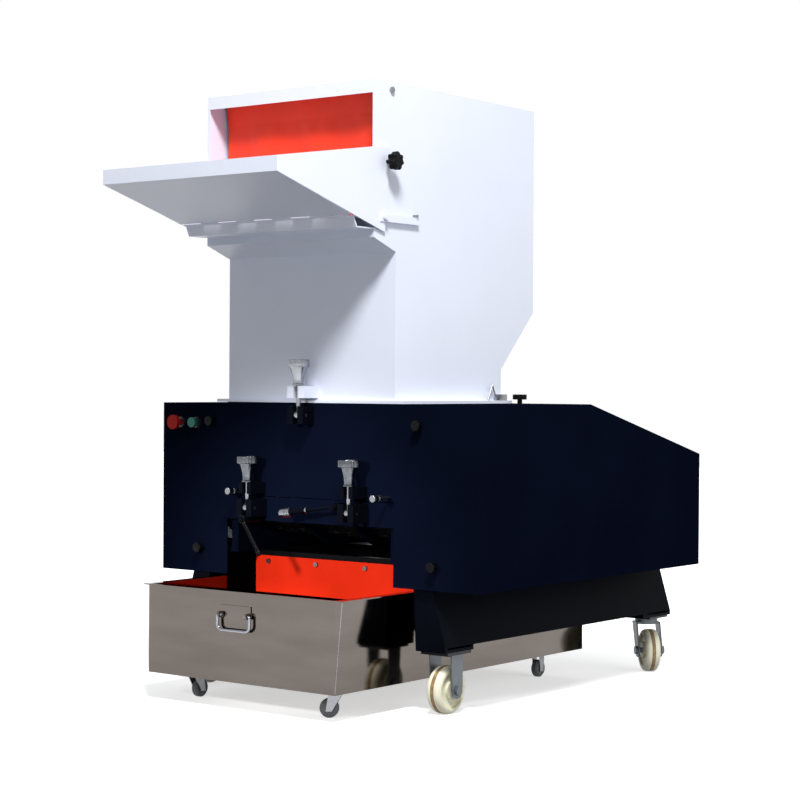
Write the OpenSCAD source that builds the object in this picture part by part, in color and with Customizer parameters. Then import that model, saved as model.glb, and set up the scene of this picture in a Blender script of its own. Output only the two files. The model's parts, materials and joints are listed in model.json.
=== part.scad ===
// Plastic granulator with a folding feed tray, wheeled frame and pull-out bin.
// X runs to the right, Y to the rear, Z up, and Z = 0 is the floor.
// The pieces are placed from the front plane of the covers by at_front().

/* [Covers] */
// Width over both side covers
covers_w = 1104; // [1090:2:1130]
// Width of the flywheel cover on the left
left_cover_w = 248; // [240:2:256]
// Width of the belt cover on the right
right_cover_w = 270; // [264:2:284]
// Length of the flywheel cover
left_cover_len = 640; // [600:5:660]
// Length of the belt cover
right_cover_len = 1142; // [1120:2:1150]
// Height of the covers' lower edge above the floor
cover_bottom_z = 326; // [320:1:330]
// Height of the flywheel cover's top
left_cover_top_z = 801; // [795:1:805]
// Length of the level part of the belt cover's top
cover_level_len = 530; // [515:1:560]
// Height of the belt cover's rear end
cover_rear_z = 655; // [640:1:680]
// Thickness of the cover sheet
cover_t = 3; // [2:0.5:4]

/* [Frame] */
// Distance from the front plane to the frame's front end
frame_front = 16; // [10:1:25]
// How far the frame runs on behind the belt cover
frame_beyond = 26; // [18:1:38]
// X of the plane halfway between the two side frames
frame_mid_x = -24; // [-26:1:-22]
// How much less the rails' inner distance is than the covers' width
rail_inset = 382; // [376:2:388]
// Width of a side rail
rail_w = 60; // [56:1:64]
// Height of a side rail
rail_h = 60; // [56:1:64]
// How far a leg leans out below its rail
leg_lean = 44; // [36:1:50]
// Height of the foot plates' lower face
foot_z = 165; // [160:1:170]
// Thickness of the frame plate
frame_t = 8; // [6:1:10]
// Length of the front foot plates
front_foot_len = 124; // [116:1:132]
// Length of the rear foot plates
rear_foot_len = 159; // [150:1:170]

/* [Main casters] */
// Diameter of a main caster wheel
wheel_d = 125; // [120:1:128]
// Width of a main caster wheel
wheel_w = 44; // [38:1:46]
// Distance from a rear caster's swivel axis to its axle
trail = 36; // [30:1:40]

/* [Cutting chamber] */
// Height of the chamber's top
chamber_top_z = 805; // [803:1:808]
// Length of the chamber
chamber_len = 490; // [484:1:496]
// Thickness of the chamber's side plates
side_plate_t = 24; // [20:1:28]
// Thickness of the chamber's front and rear walls
wall_t = 20; // [18:1:22]
// Height of the lower edge of the front wall
front_wall_z = 548; // [546:1:550]
// Height of the lower edge of the screen door
door_z = 480; // [476:1:486]
// Gap between the front wall and the screen door
door_gap = 2; // [1:0.5:3]

/* [Rotor and drive] */
// Height of the rotor axis
rotor_z = 590; // [588:1:592]
// Share of the room beside the rotor axis that the knives sweep
tip_share = 0.75; // [0.73:0.005:0.755]
// Radius of the rotor shaft
shaft_r = 35; // [32:1:36]
// Number of claw discs on the rotor
disc_count = 7; // [5:1:9]
// Radius of the flywheel
flywheel_r = 190; // [180:1:195]
// Radius of the rotor pulley
rotor_pulley_r = 180; // [170:1:185]
// Radius of the motor pulley
motor_pulley_r = 75; // [70:1:80]
// Number of drive belts
belt_count = 4; // [3:1:4]
// Distance from the belt cover's rear end to the motor axis
motor_rear = 212; // [202:1:222]
// Height of the motor axis
motor_z = 556; // [554:1:560]
// Radius of the motor frame
motor_r = 130; // [126:1:134]

/* [Screen] */
// Gap between the knife tips and the screen
screen_gap = 7; // [4:1:8]
// Thickness of the screen
screen_t = 4; // [3:0.5:5]
// Radius of a screen hole
screen_hole_r = 9; // [5:0.5:11]

/* [Hopper] */
// X of the hopper's middle plane
hopper_mid_x = -20; // [-21:1:-19]
// Height of the hopper's top
hopper_top_z = 1642; // [1630:1:1660]
// How far the hopper's front stands ahead of the covers
hopper_front = 77; // [74:1:80]
// Distance from the front plane to the hopper's rear
hopper_rear = 661; // [640:1:680]
// Height of the upper box's front lower edge
hopper_front_z = 1235; // [1230:1:1240]
// Height where the rear wall starts to slope in
hopper_slope_z = 1064; // [1040:1:1080]
// Height where the sloping rear wall ends
neck_rear_z = 900; // [880:1:920]
// Distance from the front plane to the neck's front
neck_front = 15; // [13:1:18]
// Distance from the front plane to the neck's rear
neck_rear = 501; // [496:1:504]
// Height of the neck's front upper edge
neck_front_z = 1202; // [1196:1:1206]
// Thickness of the hopper sheet
sheet_t = 3; // [2.5:0.5:4]
// Thickness of the hopper's flange
flange_t = 8; // [6:1:10]
// Height of the band above the feed opening
band_h = 33; // [28:1:38]

/* [Feed tray] */
// Distance from the front plane to the tray's hinge
hinge_front = 172; // [170:1:174]
// Height of the tray's hinge
hinge_z = 1285; // [1284:1:1287]
// Length of the tray from its hinge to its lip
tray_len = 306; // [296:1:316]
// Slope of the tray's floor when it is open
tray_slope = 16.3; // [15:0.1:18]
// Height of the tray's lip
lip_h = 38; // [34:1:44]
// Gap between a tray cheek and the hopper's wall
cheek_gap = 4; // [3:0.5:6]

/* [Clamps] */
// Diameter of a clamp knob
clamp_knob_d = 58; // [54:1:60]
// Height of a clamp knob
clamp_knob_h = 70; // [66:1:74]
// Diameter of a swing bolt
swing_bolt_d = 12; // [10:1:12]
// Length of the long lever
long_lever_len = 189; // [170:1:195]
// Length of the short lever
short_lever_len = 115; // [100:1:120]

/* [Controls] */
// Diameter of the stop button's mushroom head
stop_d = 40; // [36:1:44]
// Diameter of the start button's head
start_d = 28; // [24:1:30]
// Travel of a button
button_travel = 5; // [3:0.5:6]

/* [Bin] */
// How much less the bin's width is than the rails' inner distance
bin_room = 70; // [66:2:76]
// X of the bin's middle plane
bin_mid_x = -31; // [-32:1:-30]
// How far the bin's front stands ahead of the covers
bin_front = 252; // [240:1:262]
// Length of the bin
bin_len = 1155; // [1140:1:1160]
// Height of the bin's floor
bin_floor_z = 75; // [74:1:78]
// Height of the bin's rim
bin_rim_z = 313; // [308:1:316]
// Height of the bin's lower rear wall
bin_back_z = 255; // [240:1:258]
// Thickness of the bin's sheet
bin_t = 3; // [2:0.5:4]
// Width of the bin's side flanges
bin_flange_w = 22; // [18:1:24]
// Diameter of a bin caster wheel
bin_wheel_d = 50; // [46:1:51]

/* [Hidden] */

// Seat gap between pieces that lie against each other but move apart
seat_gap = 0.3;
// Radial play of every pin, shaft and stud that turns
play = 0.05;
// Overrun of every cut
over = 1;
// Sides of a round detail
fine = 48;
// Margin between neighbouring pieces
margin = 10;

// Places shared by several pieces
frame_rear = right_cover_len + frame_beyond;
front_y = (hinge_front + tray_len * cos(tray_slope) - frame_rear) / 2;
chamber_x0 = left_cover_w - covers_w / 2;
chamber_x1 = covers_w / 2 - right_cover_w;
side_in_x0 = chamber_x0 + side_plate_t;
side_in_x1 = chamber_x1 - side_plate_t;
rotor_y = chamber_len / 2;
rail_gap = covers_w - rail_inset;
rail_x = rail_gap / 2;
rail_top_z = cover_bottom_z + rail_h;
hopper_w = chamber_x1 - chamber_x0;
hopper_x0 = hopper_mid_x - hopper_w / 2;
hopper_x1 = hopper_mid_x + hopper_w / 2;
foot_top_z = foot_z + frame_t;
leg_foot_gap = 5;
leg_bottom_z = foot_top_z + leg_foot_gap;

guide_reach = 26;

// Cross members and motor base
beam_h = 50;
beam_w = 60;
beam_drop = 4;
beam_top_z = rail_top_z - beam_drop;
chamber_beam_y = chamber_len + margin;
motor_base_t = 12;
motor_base_side = 50;
motor_base_front = 140;
motor_base_rear = 210;
motor_y = right_cover_len - motor_rear;
motor_base_y0 = motor_y - motor_base_front;
motor_base_y1 = motor_y + motor_base_rear;
motor_beam_y = motor_base_y0 - margin;
rear_beam_y = motor_base_y1 - beam_w - margin;

// Chamber
foot_flange_t = 12;
foot_flange_w = 96;
side_bottom_z = rail_top_z;
shaft_hole_gap = 4;
seat_short = 15;
seat_h = 30;
seat_z = 556;
knife_t = 16;
knife_gap = 1.5;
knife_len = 44;
bolt_r = 8;
bolt_head_h = 8;
knife_bolt_step = 90;

// Bearing housings
housing_r = 92;
housing_t = 24;
hub_r = 64;
hub_len = 34;

// Screen and cradle
rib_t = 12;
rib_w = 26;
rib_count = 4;
bar_t = 25;
bar_z = 490;
bar_h = 50;
tip_r = (rotor_y - wall_t - bar_t) * tip_share;
screen_r = tip_r + screen_gap;
seat_len = rotor_y - tip_r - wall_t - seat_short;
screen_top_z = seat_z - door_gap;
hole_rows = 5;
hole_columns = 13;
hole_row_angle = 26;

// Discharge chute
chute_front = 115;
chute_rear = chamber_len - margin;
chute_inset = 6;
chute_x0 = chamber_x0 + chute_inset;
chute_x1 = chamber_x1 - chute_inset;
chute_top_z = 372;
chute_bottom_z = 268;
chute_t = 3;
ring_w = 22;
ring_z = 352;
chute_screw_z = 357;
chute_screw_count = 3;
chute_screw_edge = 49;
chute_screw_room = 52;
chute_screw_step = (chute_x1 - chute_x0 - chute_screw_room) / chute_screw_count;
chute_screw_r = 6.5;
chute_screw_h = 6;

// Covers
cover_screw_r = 4;
left_knob_places = [[53, 751], [95, 395]];
right_knob_places = [[86, 750], [137, 388]];
top_knob_place = [53, 505];
cover_knob_r = 14;
cover_knob_h = 14;
cover_knob_neck = 11;
cover_nut_r = 9;
cover_nut_h = 6;
top_knob_r = 20;

// Hopper
flange_side = 36;
flange_front = 10;
flange_rear = 4;
jamb_w = 7;
hang_z = 1622;
hang_y = -8;
hang_r = 6;
hang_head_r = 8;
hang_head_h = 6;
hinge_leaf_t = 4;
hinge_leaf_w = 60;
hinge_leaf_h = 30;
hinge_barrel_r = 7;
hinge_left_in = 104;
hinge_right_in = 122;
hinge_places = [chamber_x0 + hinge_left_in, chamber_x1 - hinge_right_in];
loop_y0 = 424;
loop_y1 = 466;
loop_x = hopper_x1 + margin;
loop_h = 44;
loop_r = 2.5;
block_w = 19;
block_len = 35;
block_h = 17;

// Ledge and tray
ledge_t = 3;
ledge_rise = 1;
ledge_top_z = hinge_z + ledge_rise;
ledge_hinge_gap = 8;
ledge_corner = hinge_front - ledge_hinge_gap;
ledge_foot_front = 150;
ledge_foot_z = 1256;
knuckle_r = 4;
knuckle_pin_r = 1.5;
knuckle_count = 9;
knuckle_gap = 1;
floor_start = 6.5;
cheek_rear_low = 40;
cheek_rear_high = 18;
cheek_low_z = 1250;
cheek_high_z = 1474;
cheek_knee = 88;
cheek_knee_z = 1467;
arm_h = 19;
arm_z = 1277;
arm_y0 = -62;
arm_y1 = 102;
arm_t = 3;
arm_bolt_y = -46;
arm_bolt_z = 1289;
stop_pin_r = 4;
stop_pin_y = 91;
tray_knob_y = -33;
tray_knob_z = 1433;
tray_knob_r = 25;
tray_knob_h = 24;
tray_knob_off = 16;
stud_r = 5;
lobe_count = 7;

// Curtain
curtain_t = 2;
curtain_side_gap = 14;
curtain_bottom_z = 1300;
curtain_wave = 5;
curtain_waves = 3;
curtain_steps = 36;
hem_r = 9;

// Motor
motor_len = 450;
motor_side_gap = 22;
motor_x0 = chamber_x1 - motor_side_gap - motor_len;
motor_base_x0 = motor_x0 - motor_base_side;
motor_base_x1 = motor_x0 + motor_len - margin;
motor_fin = 10;
motor_fin_t = 3;
fin_count = 28;
bell_len = 40;
motor_shaft_r = 19;
motor_foot_w = 216;
motor_foot_t = 14;
motor_foot_len = 60;
fan_cover_len = 90;
fan_cover_t = 2;
box_w = 110;
box_h = 60;
box_t = 4;
gland_r = 12.5;

// Drive
pulley_off = 68;
pulley_x = chamber_x1 + pulley_off;
groove_step = 19;
groove_w = 14;
groove_depth = 14;
pulley_edge = 12;
pulley_w = 2 * pulley_edge + (belt_count - 1) * groove_step + groove_w;
belt_w = 10;
belt_t = 9;
belt_gap = 0.5;
flywheel_off = 176;
flywheel_x = chamber_x0 - flywheel_off;
flywheel_t = 70;
flywheel_web = 24;
flywheel_rim = 34;
hub_boss_r = 55;
pulley_bore_wall = 30;
shaft_x0 = flywheel_x - margin;
shaft_x1 = pulley_x + pulley_w + margin;

// Rotor
disc_t = 22;
core_r = 78;
claw_short = 22;
claw_r = tip_r - claw_short;
claw_count = 3;
claw_twist = 24;
claw_half = 26;
claw_knife_t = 14;
claw_knife_w = 34;
claw_root_share = 0.8;

// Clamps
hopper_clamp_x = -18;
left_clamp_x = -184;
right_clamp_x = 172;
hopper_clamp_y = -32;
low_clamp_y = -50;
hopper_pivot_z = 772;
low_pivot_z = 517;
hopper_fork_z = 818;
low_fork_z = 556;
fork_h = 32;
low_fork_h = 30;
fork_gap = 16;
prong_w = 23;
low_prong_w = 14;
prong_reach = 12;
knob_seat_gap = 1.2;
knob_disc_h = 20;
knob_neck_r = 11.5;
knob_shoulder_r = 18;
bolt_in_knob = 45;
eye_r = 12;
eye_w = 14;
pin_r = 5;
ear_gap = 1;
ear_w = 19;
ear_base_t = 12;
ear_nose = 15;
ear_above = 24;
lever_r = 5;
lever_hub_r = 11;
lever_hub_w = 12;
lever_boss_r = 10;
lever_grip_r = 13;
lever_grip_len = 42;
lever_collar_r = 8;
lever_collar_w = 6;
lever_collar_at = 90;
long_lever_x = 128;
pin_head_r = 8;
pin_head_h = 3;
long_lever_y = -60;
long_lever_z = 532;
long_lever_drop = 7.5;
short_lever_x = -181;
short_lever_y = -74;
short_lever_z = 487;
short_lever_lean = 34.5;
lock_screw_places = [[-250, -50], [268, -63]];
lock_screw_z = 560;
lock_knob_r = 9;
lock_knob_h = 18;
lock_collar_r = 7;
lock_collar_h = 12;
lock_collar_gap = 8;
lock_rod_r = 4;

// Controls
button_inset = 72;
button_step = 59;
stop_x = button_inset - covers_w / 2;
start_x = stop_x + button_step;
button_z = 746;
bezel_r = 15;
bezel_h = 7;
bezel_nut_h = 8;
bezel_nut_r = 17;
stem_r = 8;
stop_head_h = 12;
start_head_h = 8;
stop_off = 28;
start_off = 17;
bezel_back = 14;

// Bin
bin_w = rail_gap - bin_room;
bin_handle_x = -40;
handle_plate_w = 107;
handle_plate_h = 22;
handle_plate_z = 255;
handle_plate_t = 3;
bail_w = 112;
bail_drop = 40;
bail_r = 4;
bail_pivot_z = 252;
bail_off = 10;
bail_ear_w = 6;
bail_ear_r = 8;
bin_caster_in = 71;
bin_caster_x = bin_w / 2 - bin_caster_in;
bin_caster_front = -150;
bin_caster_rear = 774;
bin_trail = 24;
bin_wheel_w = 20;
bin_plate = 56;
bin_plate_t = 3;
bin_fork_t = 2.5;
bin_fork_gap = 1.5;
bin_fork_w = 24;
bin_axle_r = 4;
bin_race_r = 16;
bin_race_h = 7;
bin_swivel_r = 5;
bin_right_turn = -150;
bin_left_turn = 90;

// Main casters
fork_t = 4;
fork_side_gap = 11;
fork_arm_w = 52;
fork_arm_low_w = 42;
axle_r = 8;
axle_head_r = 12;
axle_head_h = 7;
tyre_round = 12;
wheel_hub_r = 24;
wheel_recess = 7;
wheel_recess_r = 48;
caster_plate_t = 8;
caster_plate_x = 86;
caster_plate_y = 104;
front_caster_y = 78;
rear_caster_in_y = 53;
rear_caster_y = frame_rear - rear_caster_in_y;
front_caster_in = 43;
rear_caster_in = 52;
frame_half = rail_x + rail_w + leg_lean;
front_caster_off = frame_half - front_caster_in;
rear_caster_off = frame_half - rear_caster_in;
swivel_r = 12;
race_r = 34;
race_h = 12;
crown_t = 6;
right_turn = -45;
left_turn = -70;

// Moves what is placed from the covers' front plane into the part's frame
module at_front() translate([0, front_y, 0]) children();

// A box between two corners, given as one pair of limits for each axis
module block(x, y, z) {
    translate([x[0], y[0], z[0]]) cube([x[1] - x[0], y[1] - y[0], z[1] - z[0]]);
}

// Extrudes a Y-Z outline along X between two limits
module along_x(x0, x1) {
    translate([x0, 0, 0]) rotate([90, 0, 90]) linear_extrude(x1 - x0) children();
}

// Extrudes an X-Z outline along Y between two limits
module along_y(y0, y1) {
    translate([0, y1, 0]) rotate([90, 0, 0]) linear_extrude(y1 - y0) children();
}

// A round bar along X between two limits
module rod_x(x0, x1, y, z, r) {
    translate([x0, y, z]) rotate([0, 90, 0]) cylinder(h = x1 - x0, r = r, $fn = fine);
}

// A round bar along Y between two limits
module rod_y(y0, y1, x, z, r) {
    translate([x, y1, z]) rotate([90, 0, 0]) cylinder(h = y1 - y0, r = r, $fn = fine);
}

// A round bar along Z between two limits
module rod_z(z0, z1, x, y, r) {
    translate([x, y, z0]) cylinder(h = z1 - z0, r = r, $fn = fine);
}

// One corner of an outline moved inwards by the sheet's thickness
function miter(p, q, r, t) =
    let (a = (q - p) / norm(q - p), b = (r - q) / norm(r - q))
    q + [-a[1] - b[1], a[0] + b[0]] * t / (1 + a * b);

// An anticlockwise outline moved inwards by the sheet's thickness
function inset(points, t) =
    let (n = len(points))
    [for (i = [0 : n - 1]) miter(points[(i + n - 1) % n], points[i], points[(i + 1) % n], t)];

// A lobed knob head standing on Z = 0
module star(r, h) {
    lobe_r = r / 4;
    union() {
        cylinder(h = h, r = r - lobe_r, $fn = fine);
        for (i = [0 : lobe_count - 1])
            rotate([0, 0, i * 360 / lobe_count])
                translate([r - lobe_r, 0, 0]) cylinder(h = h, r = lobe_r, $fn = fine);
    }
}

// Mirrors a copy of a piece about the plane between the side frames
module both_frames() {
    children();
    translate([2 * frame_mid_x, 0, 0]) mirror([1, 0, 0]) children();
}

// Mirrors a copy of a piece about the hopper's middle plane
module both_hopper_sides() {
    children();
    translate([2 * hopper_mid_x, 0, 0]) mirror([1, 0, 0]) children();
}

// One side frame on the right: rail, leaning web, end plates, two feet and the bin's guide
module side_frame() {
    x0 = frame_mid_x + rail_x;
    x1 = x0 + rail_w;
    lean = [x1 + leg_lean, leg_bottom_z];
    guide_y = [frame_front + front_foot_len, frame_rear - rear_foot_len];
    leg = [[x0, cover_bottom_z + over], [x0 + frame_t, foot_z + frame_t / 2],
        [lean[0], foot_z + frame_t / 2], [lean[0], lean[1]], [x1, cover_bottom_z + over]];
    web = [[x1 - frame_t, cover_bottom_z + over], [lean[0] - frame_t, lean[1]], lean,
        [x1, cover_bottom_z + over]];
    union() {
        block([x0, x1], [frame_front, frame_rear], [cover_bottom_z, rail_top_z]);
        along_y(frame_front, frame_rear) polygon(web);
        along_y(frame_front, frame_front + frame_t) polygon(leg);
        along_y(frame_front + front_foot_len - frame_t, frame_front + front_foot_len)
            polygon(leg);
        along_y(frame_rear - rear_foot_len, frame_rear - rear_foot_len + frame_t) polygon(leg);
        along_y(frame_rear - frame_t, frame_rear) polygon(leg);
        block([x0 + frame_t, lean[0]], [frame_front, frame_front + front_foot_len],
            [foot_z, foot_top_z]);
        block([x0 + frame_t, lean[0]], [frame_rear - rear_foot_len, frame_rear],
            [foot_z, foot_top_z]);
        block([x0 - guide_reach, x0 + frame_t], guide_y,
            [bin_rim_z + seat_gap, cover_bottom_z - seat_gap]);
        block([x0, x0 + frame_t], guide_y, [bin_rim_z + seat_gap, cover_bottom_z + over]);
    }
}

module side_frames() {
    color([0.03, 0.03, 0.04]) at_front() both_frames() side_frame();
}

module cross_members() {
    beams = [chamber_beam_y, motor_beam_y, rear_beam_y];
    color([0.03, 0.03, 0.04]) at_front() {
        for (y = beams)
            block([frame_mid_x - rail_x, frame_mid_x + rail_x], [y, y + beam_w],
                [beam_top_z - beam_h, beam_top_z]);
        block([motor_base_x0, motor_base_x1], [motor_base_y0, motor_base_y1],
            [beam_top_z, beam_top_z + motor_base_t]);
    }
}

// A chamber side plate between two X limits, with its foot flange on a rail
module chamber_side(x, flange_x) {
    difference() {
        union() {
            block(x, [wall_t, chamber_len], [side_bottom_z, chamber_top_z]);
            block(flange_x, [wall_t, chamber_len - wall_t],
                [side_bottom_z, side_bottom_z + foot_flange_t]);
        }
        rod_x(x[0] - over, x[1] + over, rotor_y, rotor_z, shaft_r + shaft_hole_gap);
    }
}

module chamber_sides() {
    color([0.04, 0.05, 0.09]) at_front() {
        chamber_side([chamber_x0, side_in_x0], [chamber_x0 - foot_flange_w, side_in_x0]);
        chamber_side([side_in_x1, chamber_x1], [side_in_x1, chamber_x1 + foot_flange_w]);
    }
}

module chamber_front() {
    color([0.03, 0.04, 0.08]) at_front() union() {
        block([chamber_x0, chamber_x1], [0, wall_t], [front_wall_z, chamber_top_z]);
        block([side_in_x0, side_in_x1], [wall_t, wall_t + seat_len], [seat_z, seat_z + seat_h]);
    }
}

module chamber_rear() {
    y1 = chamber_len;
    color([0.03, 0.04, 0.08]) at_front() union() {
        block([side_in_x0, side_in_x1], [y1 - wall_t, y1], [seat_z, chamber_top_z]);
        block([side_in_x0, side_in_x1], [y1 - wall_t - seat_len, y1 - wall_t],
            [seat_z, seat_z + seat_h]);
    }
}

module screen_cradle() {
    inner = screen_r + screen_t + seat_gap;
    x_step = (side_in_x1 - side_in_x0 - rib_t) / (rib_count - 1);
    color([0.09, 0.10, 0.12]) at_front() union() {
        block([chamber_x0, chamber_x1], [0, wall_t], [door_z, front_wall_z - door_gap]);
        block([side_in_x0, side_in_x1], [wall_t, wall_t + bar_t], [bar_z, bar_z + bar_h]);
        block([side_in_x0, side_in_x1], [chamber_len - wall_t - bar_t, chamber_len - wall_t],
            [bar_z, bar_z + bar_h]);
        for (i = [0 : rib_count - 1])
            along_x(side_in_x0 + i * x_step, side_in_x0 + i * x_step + rib_t)
                cradle_rib(inner);
    }
}

// Outline of a cradle rib: a half ring with a lug to each long bar
module cradle_rib(inner) {
    bar_in = wall_t + bar_t;
    intersection() {
        difference() {
            union() {
                translate([rotor_y, rotor_z]) circle(r = inner + rib_w, $fn = fine);
                translate([bar_in, bar_z]) square([chamber_len - 2 * bar_in, bar_h]);
            }
            translate([rotor_y, rotor_z]) circle(r = inner, $fn = fine);
        }
        translate([bar_in, side_bottom_z + over])
            square([chamber_len - 2 * bar_in, screen_top_z - side_bottom_z - over]);
    }
}

module screen() {
    x_step = (side_in_x1 - side_in_x0) / hole_columns;
    color([0.45, 0.46, 0.48]) at_front() difference() {
        intersection() {
            translate([side_in_x0, rotor_y, rotor_z]) rotate([0, 90, 0]) difference() {
                cylinder(h = side_in_x1 - side_in_x0, r = screen_r + screen_t, $fn = fine);
                translate([0, 0, -over])
                    cylinder(h = side_in_x1 - side_in_x0 + 2 * over, r = screen_r, $fn = fine);
            }
            block([side_in_x0 - over, side_in_x1 + over], [0, chamber_len],
                [side_bottom_z, screen_top_z]);
        }
        for (i = [0 : hole_columns - 1])
            for (j = [0 : hole_rows - 1])
                translate([side_in_x0 + (i + 0.5) * x_step, rotor_y, rotor_z])
                    rotate([(j - (hole_rows - 1) / 2) * hole_row_angle, 0, 0])
                        translate([0, 0, -screen_r - screen_t - over])
                            cylinder(h = screen_t + 3 * over, r = screen_hole_r, $fn = fine);
    }
}

// A fixed knife on its seat, with its bolts; the tip points to the rotor
module bed_knife() {
    tip = rotor_y - tip_r - knife_gap;
    z0 = seat_z + seat_h;
    union() {
        block([side_in_x0, side_in_x1], [tip - knife_len, tip], [z0, z0 + knife_t]);
        for (x = [side_in_x0 + knife_bolt_step / 2 : knife_bolt_step : side_in_x1 - bolt_r])
            rod_z(z0 + knife_t, z0 + knife_t + bolt_head_h, x, tip - knife_len / 2, bolt_r);
    }
}

module bed_knives() {
    color([0.6, 0.6, 0.62]) at_front() {
        bed_knife();
        translate([0, 2 * rotor_y, 0]) mirror([0, 1, 0]) bed_knife();
    }
}

// A flanged bearing housing whose flange lies on X = 0 and whose hub points to +X
module bearing_housing() {
    difference() {
        union() {
            rod_x(0, housing_t, 0, 0, housing_r);
            rod_x(0, hub_len + housing_t, 0, 0, hub_r);
        }
        rod_x(-over, hub_len + housing_t + over, 0, 0, shaft_r + play);
    }
}

module bearing_housings() {
    color([0.30, 0.32, 0.36]) at_front() {
        translate([chamber_x1, rotor_y, rotor_z]) bearing_housing();
        translate([chamber_x0, rotor_y, rotor_z]) mirror([1, 0, 0]) bearing_housing();
    }
}

module discharge_chute() {
    inner_x = [chute_x0 + chute_t, chute_x1 - chute_t];
    inner_y = [chute_front + chute_t, chute_rear - chute_t];
    color([0.93, 0.18, 0.08]) at_front() union() {
        difference() {
            block([chute_x0, chute_x1], [chute_front, chute_rear], [chute_bottom_z, chute_top_z]);
            block(inner_x, inner_y, [chute_bottom_z - over, chute_top_z + over]);
        }
        difference() {
            block(inner_x, inner_y, [ring_z, side_bottom_z]);
            block([inner_x[0] + ring_w, inner_x[1] - ring_w],
                [inner_y[0] + ring_w, inner_y[1] - ring_w], [ring_z - over, side_bottom_z + over]);
        }
    }
}

// A cover's Y-Z outline: level top, then a slope down to the rear
function cover_outline(len_y, level_y, top_z, rear_z) =
    [[0, cover_bottom_z], [len_y, cover_bottom_z], [len_y, rear_z], [level_y, top_z], [0, top_z]];

// A sheet cover between two X limits, open below and towards the chamber
module cover_shell(x0, x1, outline, len_y, open_x, rail) {
    low_z = cover_bottom_z - over;
    difference() {
        along_x(x0, x1) polygon(outline);
        along_x(x0 + cover_t, x1 - cover_t) polygon(inset(outline, cover_t));
        block([x0 + cover_t, x1 - cover_t], [cover_t, len_y - cover_t],
            [low_z, cover_bottom_z + cover_t + over]);
        block(open_x, [cover_t, chamber_len], [low_z, left_cover_top_z - cover_t]);
        block(open_x, [chamber_len - over, len_y - cover_t], [low_z, rail_top_z + seat_gap]);
        block([rail - seat_gap, rail + rail_w + seat_gap], [len_y - cover_t - over, len_y + over],
            [low_z, rail_top_z + seat_gap]);
    }
}

module flywheel_cover() {
    x0 = -covers_w / 2;
    outline = cover_outline(left_cover_len, left_cover_len / 2, left_cover_top_z,
        left_cover_top_z);
    color([0.03, 0.04, 0.09]) at_front() difference() {
        cover_shell(x0, chamber_x0, outline, left_cover_len,
            [chamber_x0 - cover_t - over, chamber_x0 + over], frame_mid_x - rail_x - rail_w);
        for (p = left_knob_places)
            rod_y(-over, cover_t + over, chamber_x0 - p[0], p[1], cover_screw_r + play);
        for (x = [stop_x, start_x]) rod_y(-over, cover_t + over, x, button_z, bezel_r - cover_t);
    }
}

module belt_cover() {
    x1 = covers_w / 2;
    outline = cover_outline(right_cover_len, cover_level_len, chamber_top_z, cover_rear_z);
    color([0.03, 0.04, 0.09]) at_front() difference() {
        cover_shell(chamber_x1, x1, outline, right_cover_len,
            [chamber_x1 - over, chamber_x1 + cover_t + over], frame_mid_x + rail_x);
        for (p = right_knob_places)
            rod_y(-over, cover_t + over, chamber_x1 + p[0], p[1], cover_screw_r + play);
        rod_x(chamber_x1 - over, chamber_x1 + cover_t + over, motor_y, motor_z,
            motor_shaft_r + bolt_r);
        rod_z(chamber_top_z - cover_t - over, chamber_top_z + over,
            chamber_x1 + top_knob_place[0], top_knob_place[1], cover_screw_r + play);
    }
}

// Y-Z outline of the hopper, anticlockwise seen from +X
hopper_outline = [[-hopper_front, hopper_front_z], [neck_front, neck_front_z],
    [neck_front, chamber_top_z], [neck_rear, chamber_top_z], [neck_rear, neck_rear_z],
    [hopper_rear, hopper_slope_z], [hopper_rear, hopper_top_z], [-hopper_front, hopper_top_z]];

module hopper() {
    x0 = hopper_x0;
    x1 = hopper_x1;
    neck_x = [x0 + sheet_t, x1 - sheet_t];
    neck_y = [neck_front + sheet_t, neck_rear - sheet_t];
    color([0.93, 0.94, 0.97]) at_front() difference() {
        union() {
            along_x(x0, x1) polygon(hopper_outline);
            block([x0 - flange_side, x1 + flange_side],
                [neck_front - flange_front, neck_rear + flange_rear],
                [chamber_top_z, chamber_top_z + flange_t]);
            hopper_fork();
        }
        along_x(x0 + sheet_t, x1 - sheet_t) polygon(inset(hopper_outline, sheet_t));
        block(neck_x, neck_y, [chamber_top_z - over, chamber_top_z + flange_t + over]);
        block([x0 + jamb_w, x1 - jamb_w], [-hopper_front - over, -hopper_front + sheet_t + over],
            [ledge_top_z, hopper_top_z - band_h]);
        rod_x(x0 - over, x0 + sheet_t + over, hang_y, hang_z, hang_r + play);
        rod_x(x1 - sheet_t - over, x1 + over, hang_y, hang_z, hang_r + play);
    }
}

// The slotted bracket on the neck that the top clamp presses down on
module hopper_fork() {
    fork(hopper_clamp_x, hopper_clamp_y, neck_front, hopper_fork_z, fork_h, prong_w);
}

// A fork open to the front: two prongs beside a swing bolt at x and y
module fork(x, y, wall_y, z, h, prong) {
    half = fork_gap / 2 + prong;
    difference() {
        block([x - half, x + half], [y - prong_reach, wall_y], [z, z + h]);
        block([x - fork_gap / 2, x + fork_gap / 2], [y - prong_reach - over, y],
            [z - over, z + h + over]);
        rod_z(z - over, z + h + over, x, y, fork_gap / 2);
    }
}

// Outline of the folded ledge that carries the tray's hinge
module ledge_outline() {
    t = ledge_t;
    front = [-ledge_corner, -ledge_foot_front];
    fold_run = 3 * t / 2;
    polygon([[front[0], ledge_top_z], [front[1], ledge_foot_z], [-hopper_front, ledge_foot_z],
        [-hopper_front, ledge_foot_z + t], [front[1] + t, ledge_foot_z + t],
        [front[0] + fold_run, ledge_top_z - t], [-hopper_front, ledge_top_z - t],
        [-hopper_front, ledge_top_z]]);
}

knuckle_len = (hopper_w - 4 * sheet_t) / knuckle_count;

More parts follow.
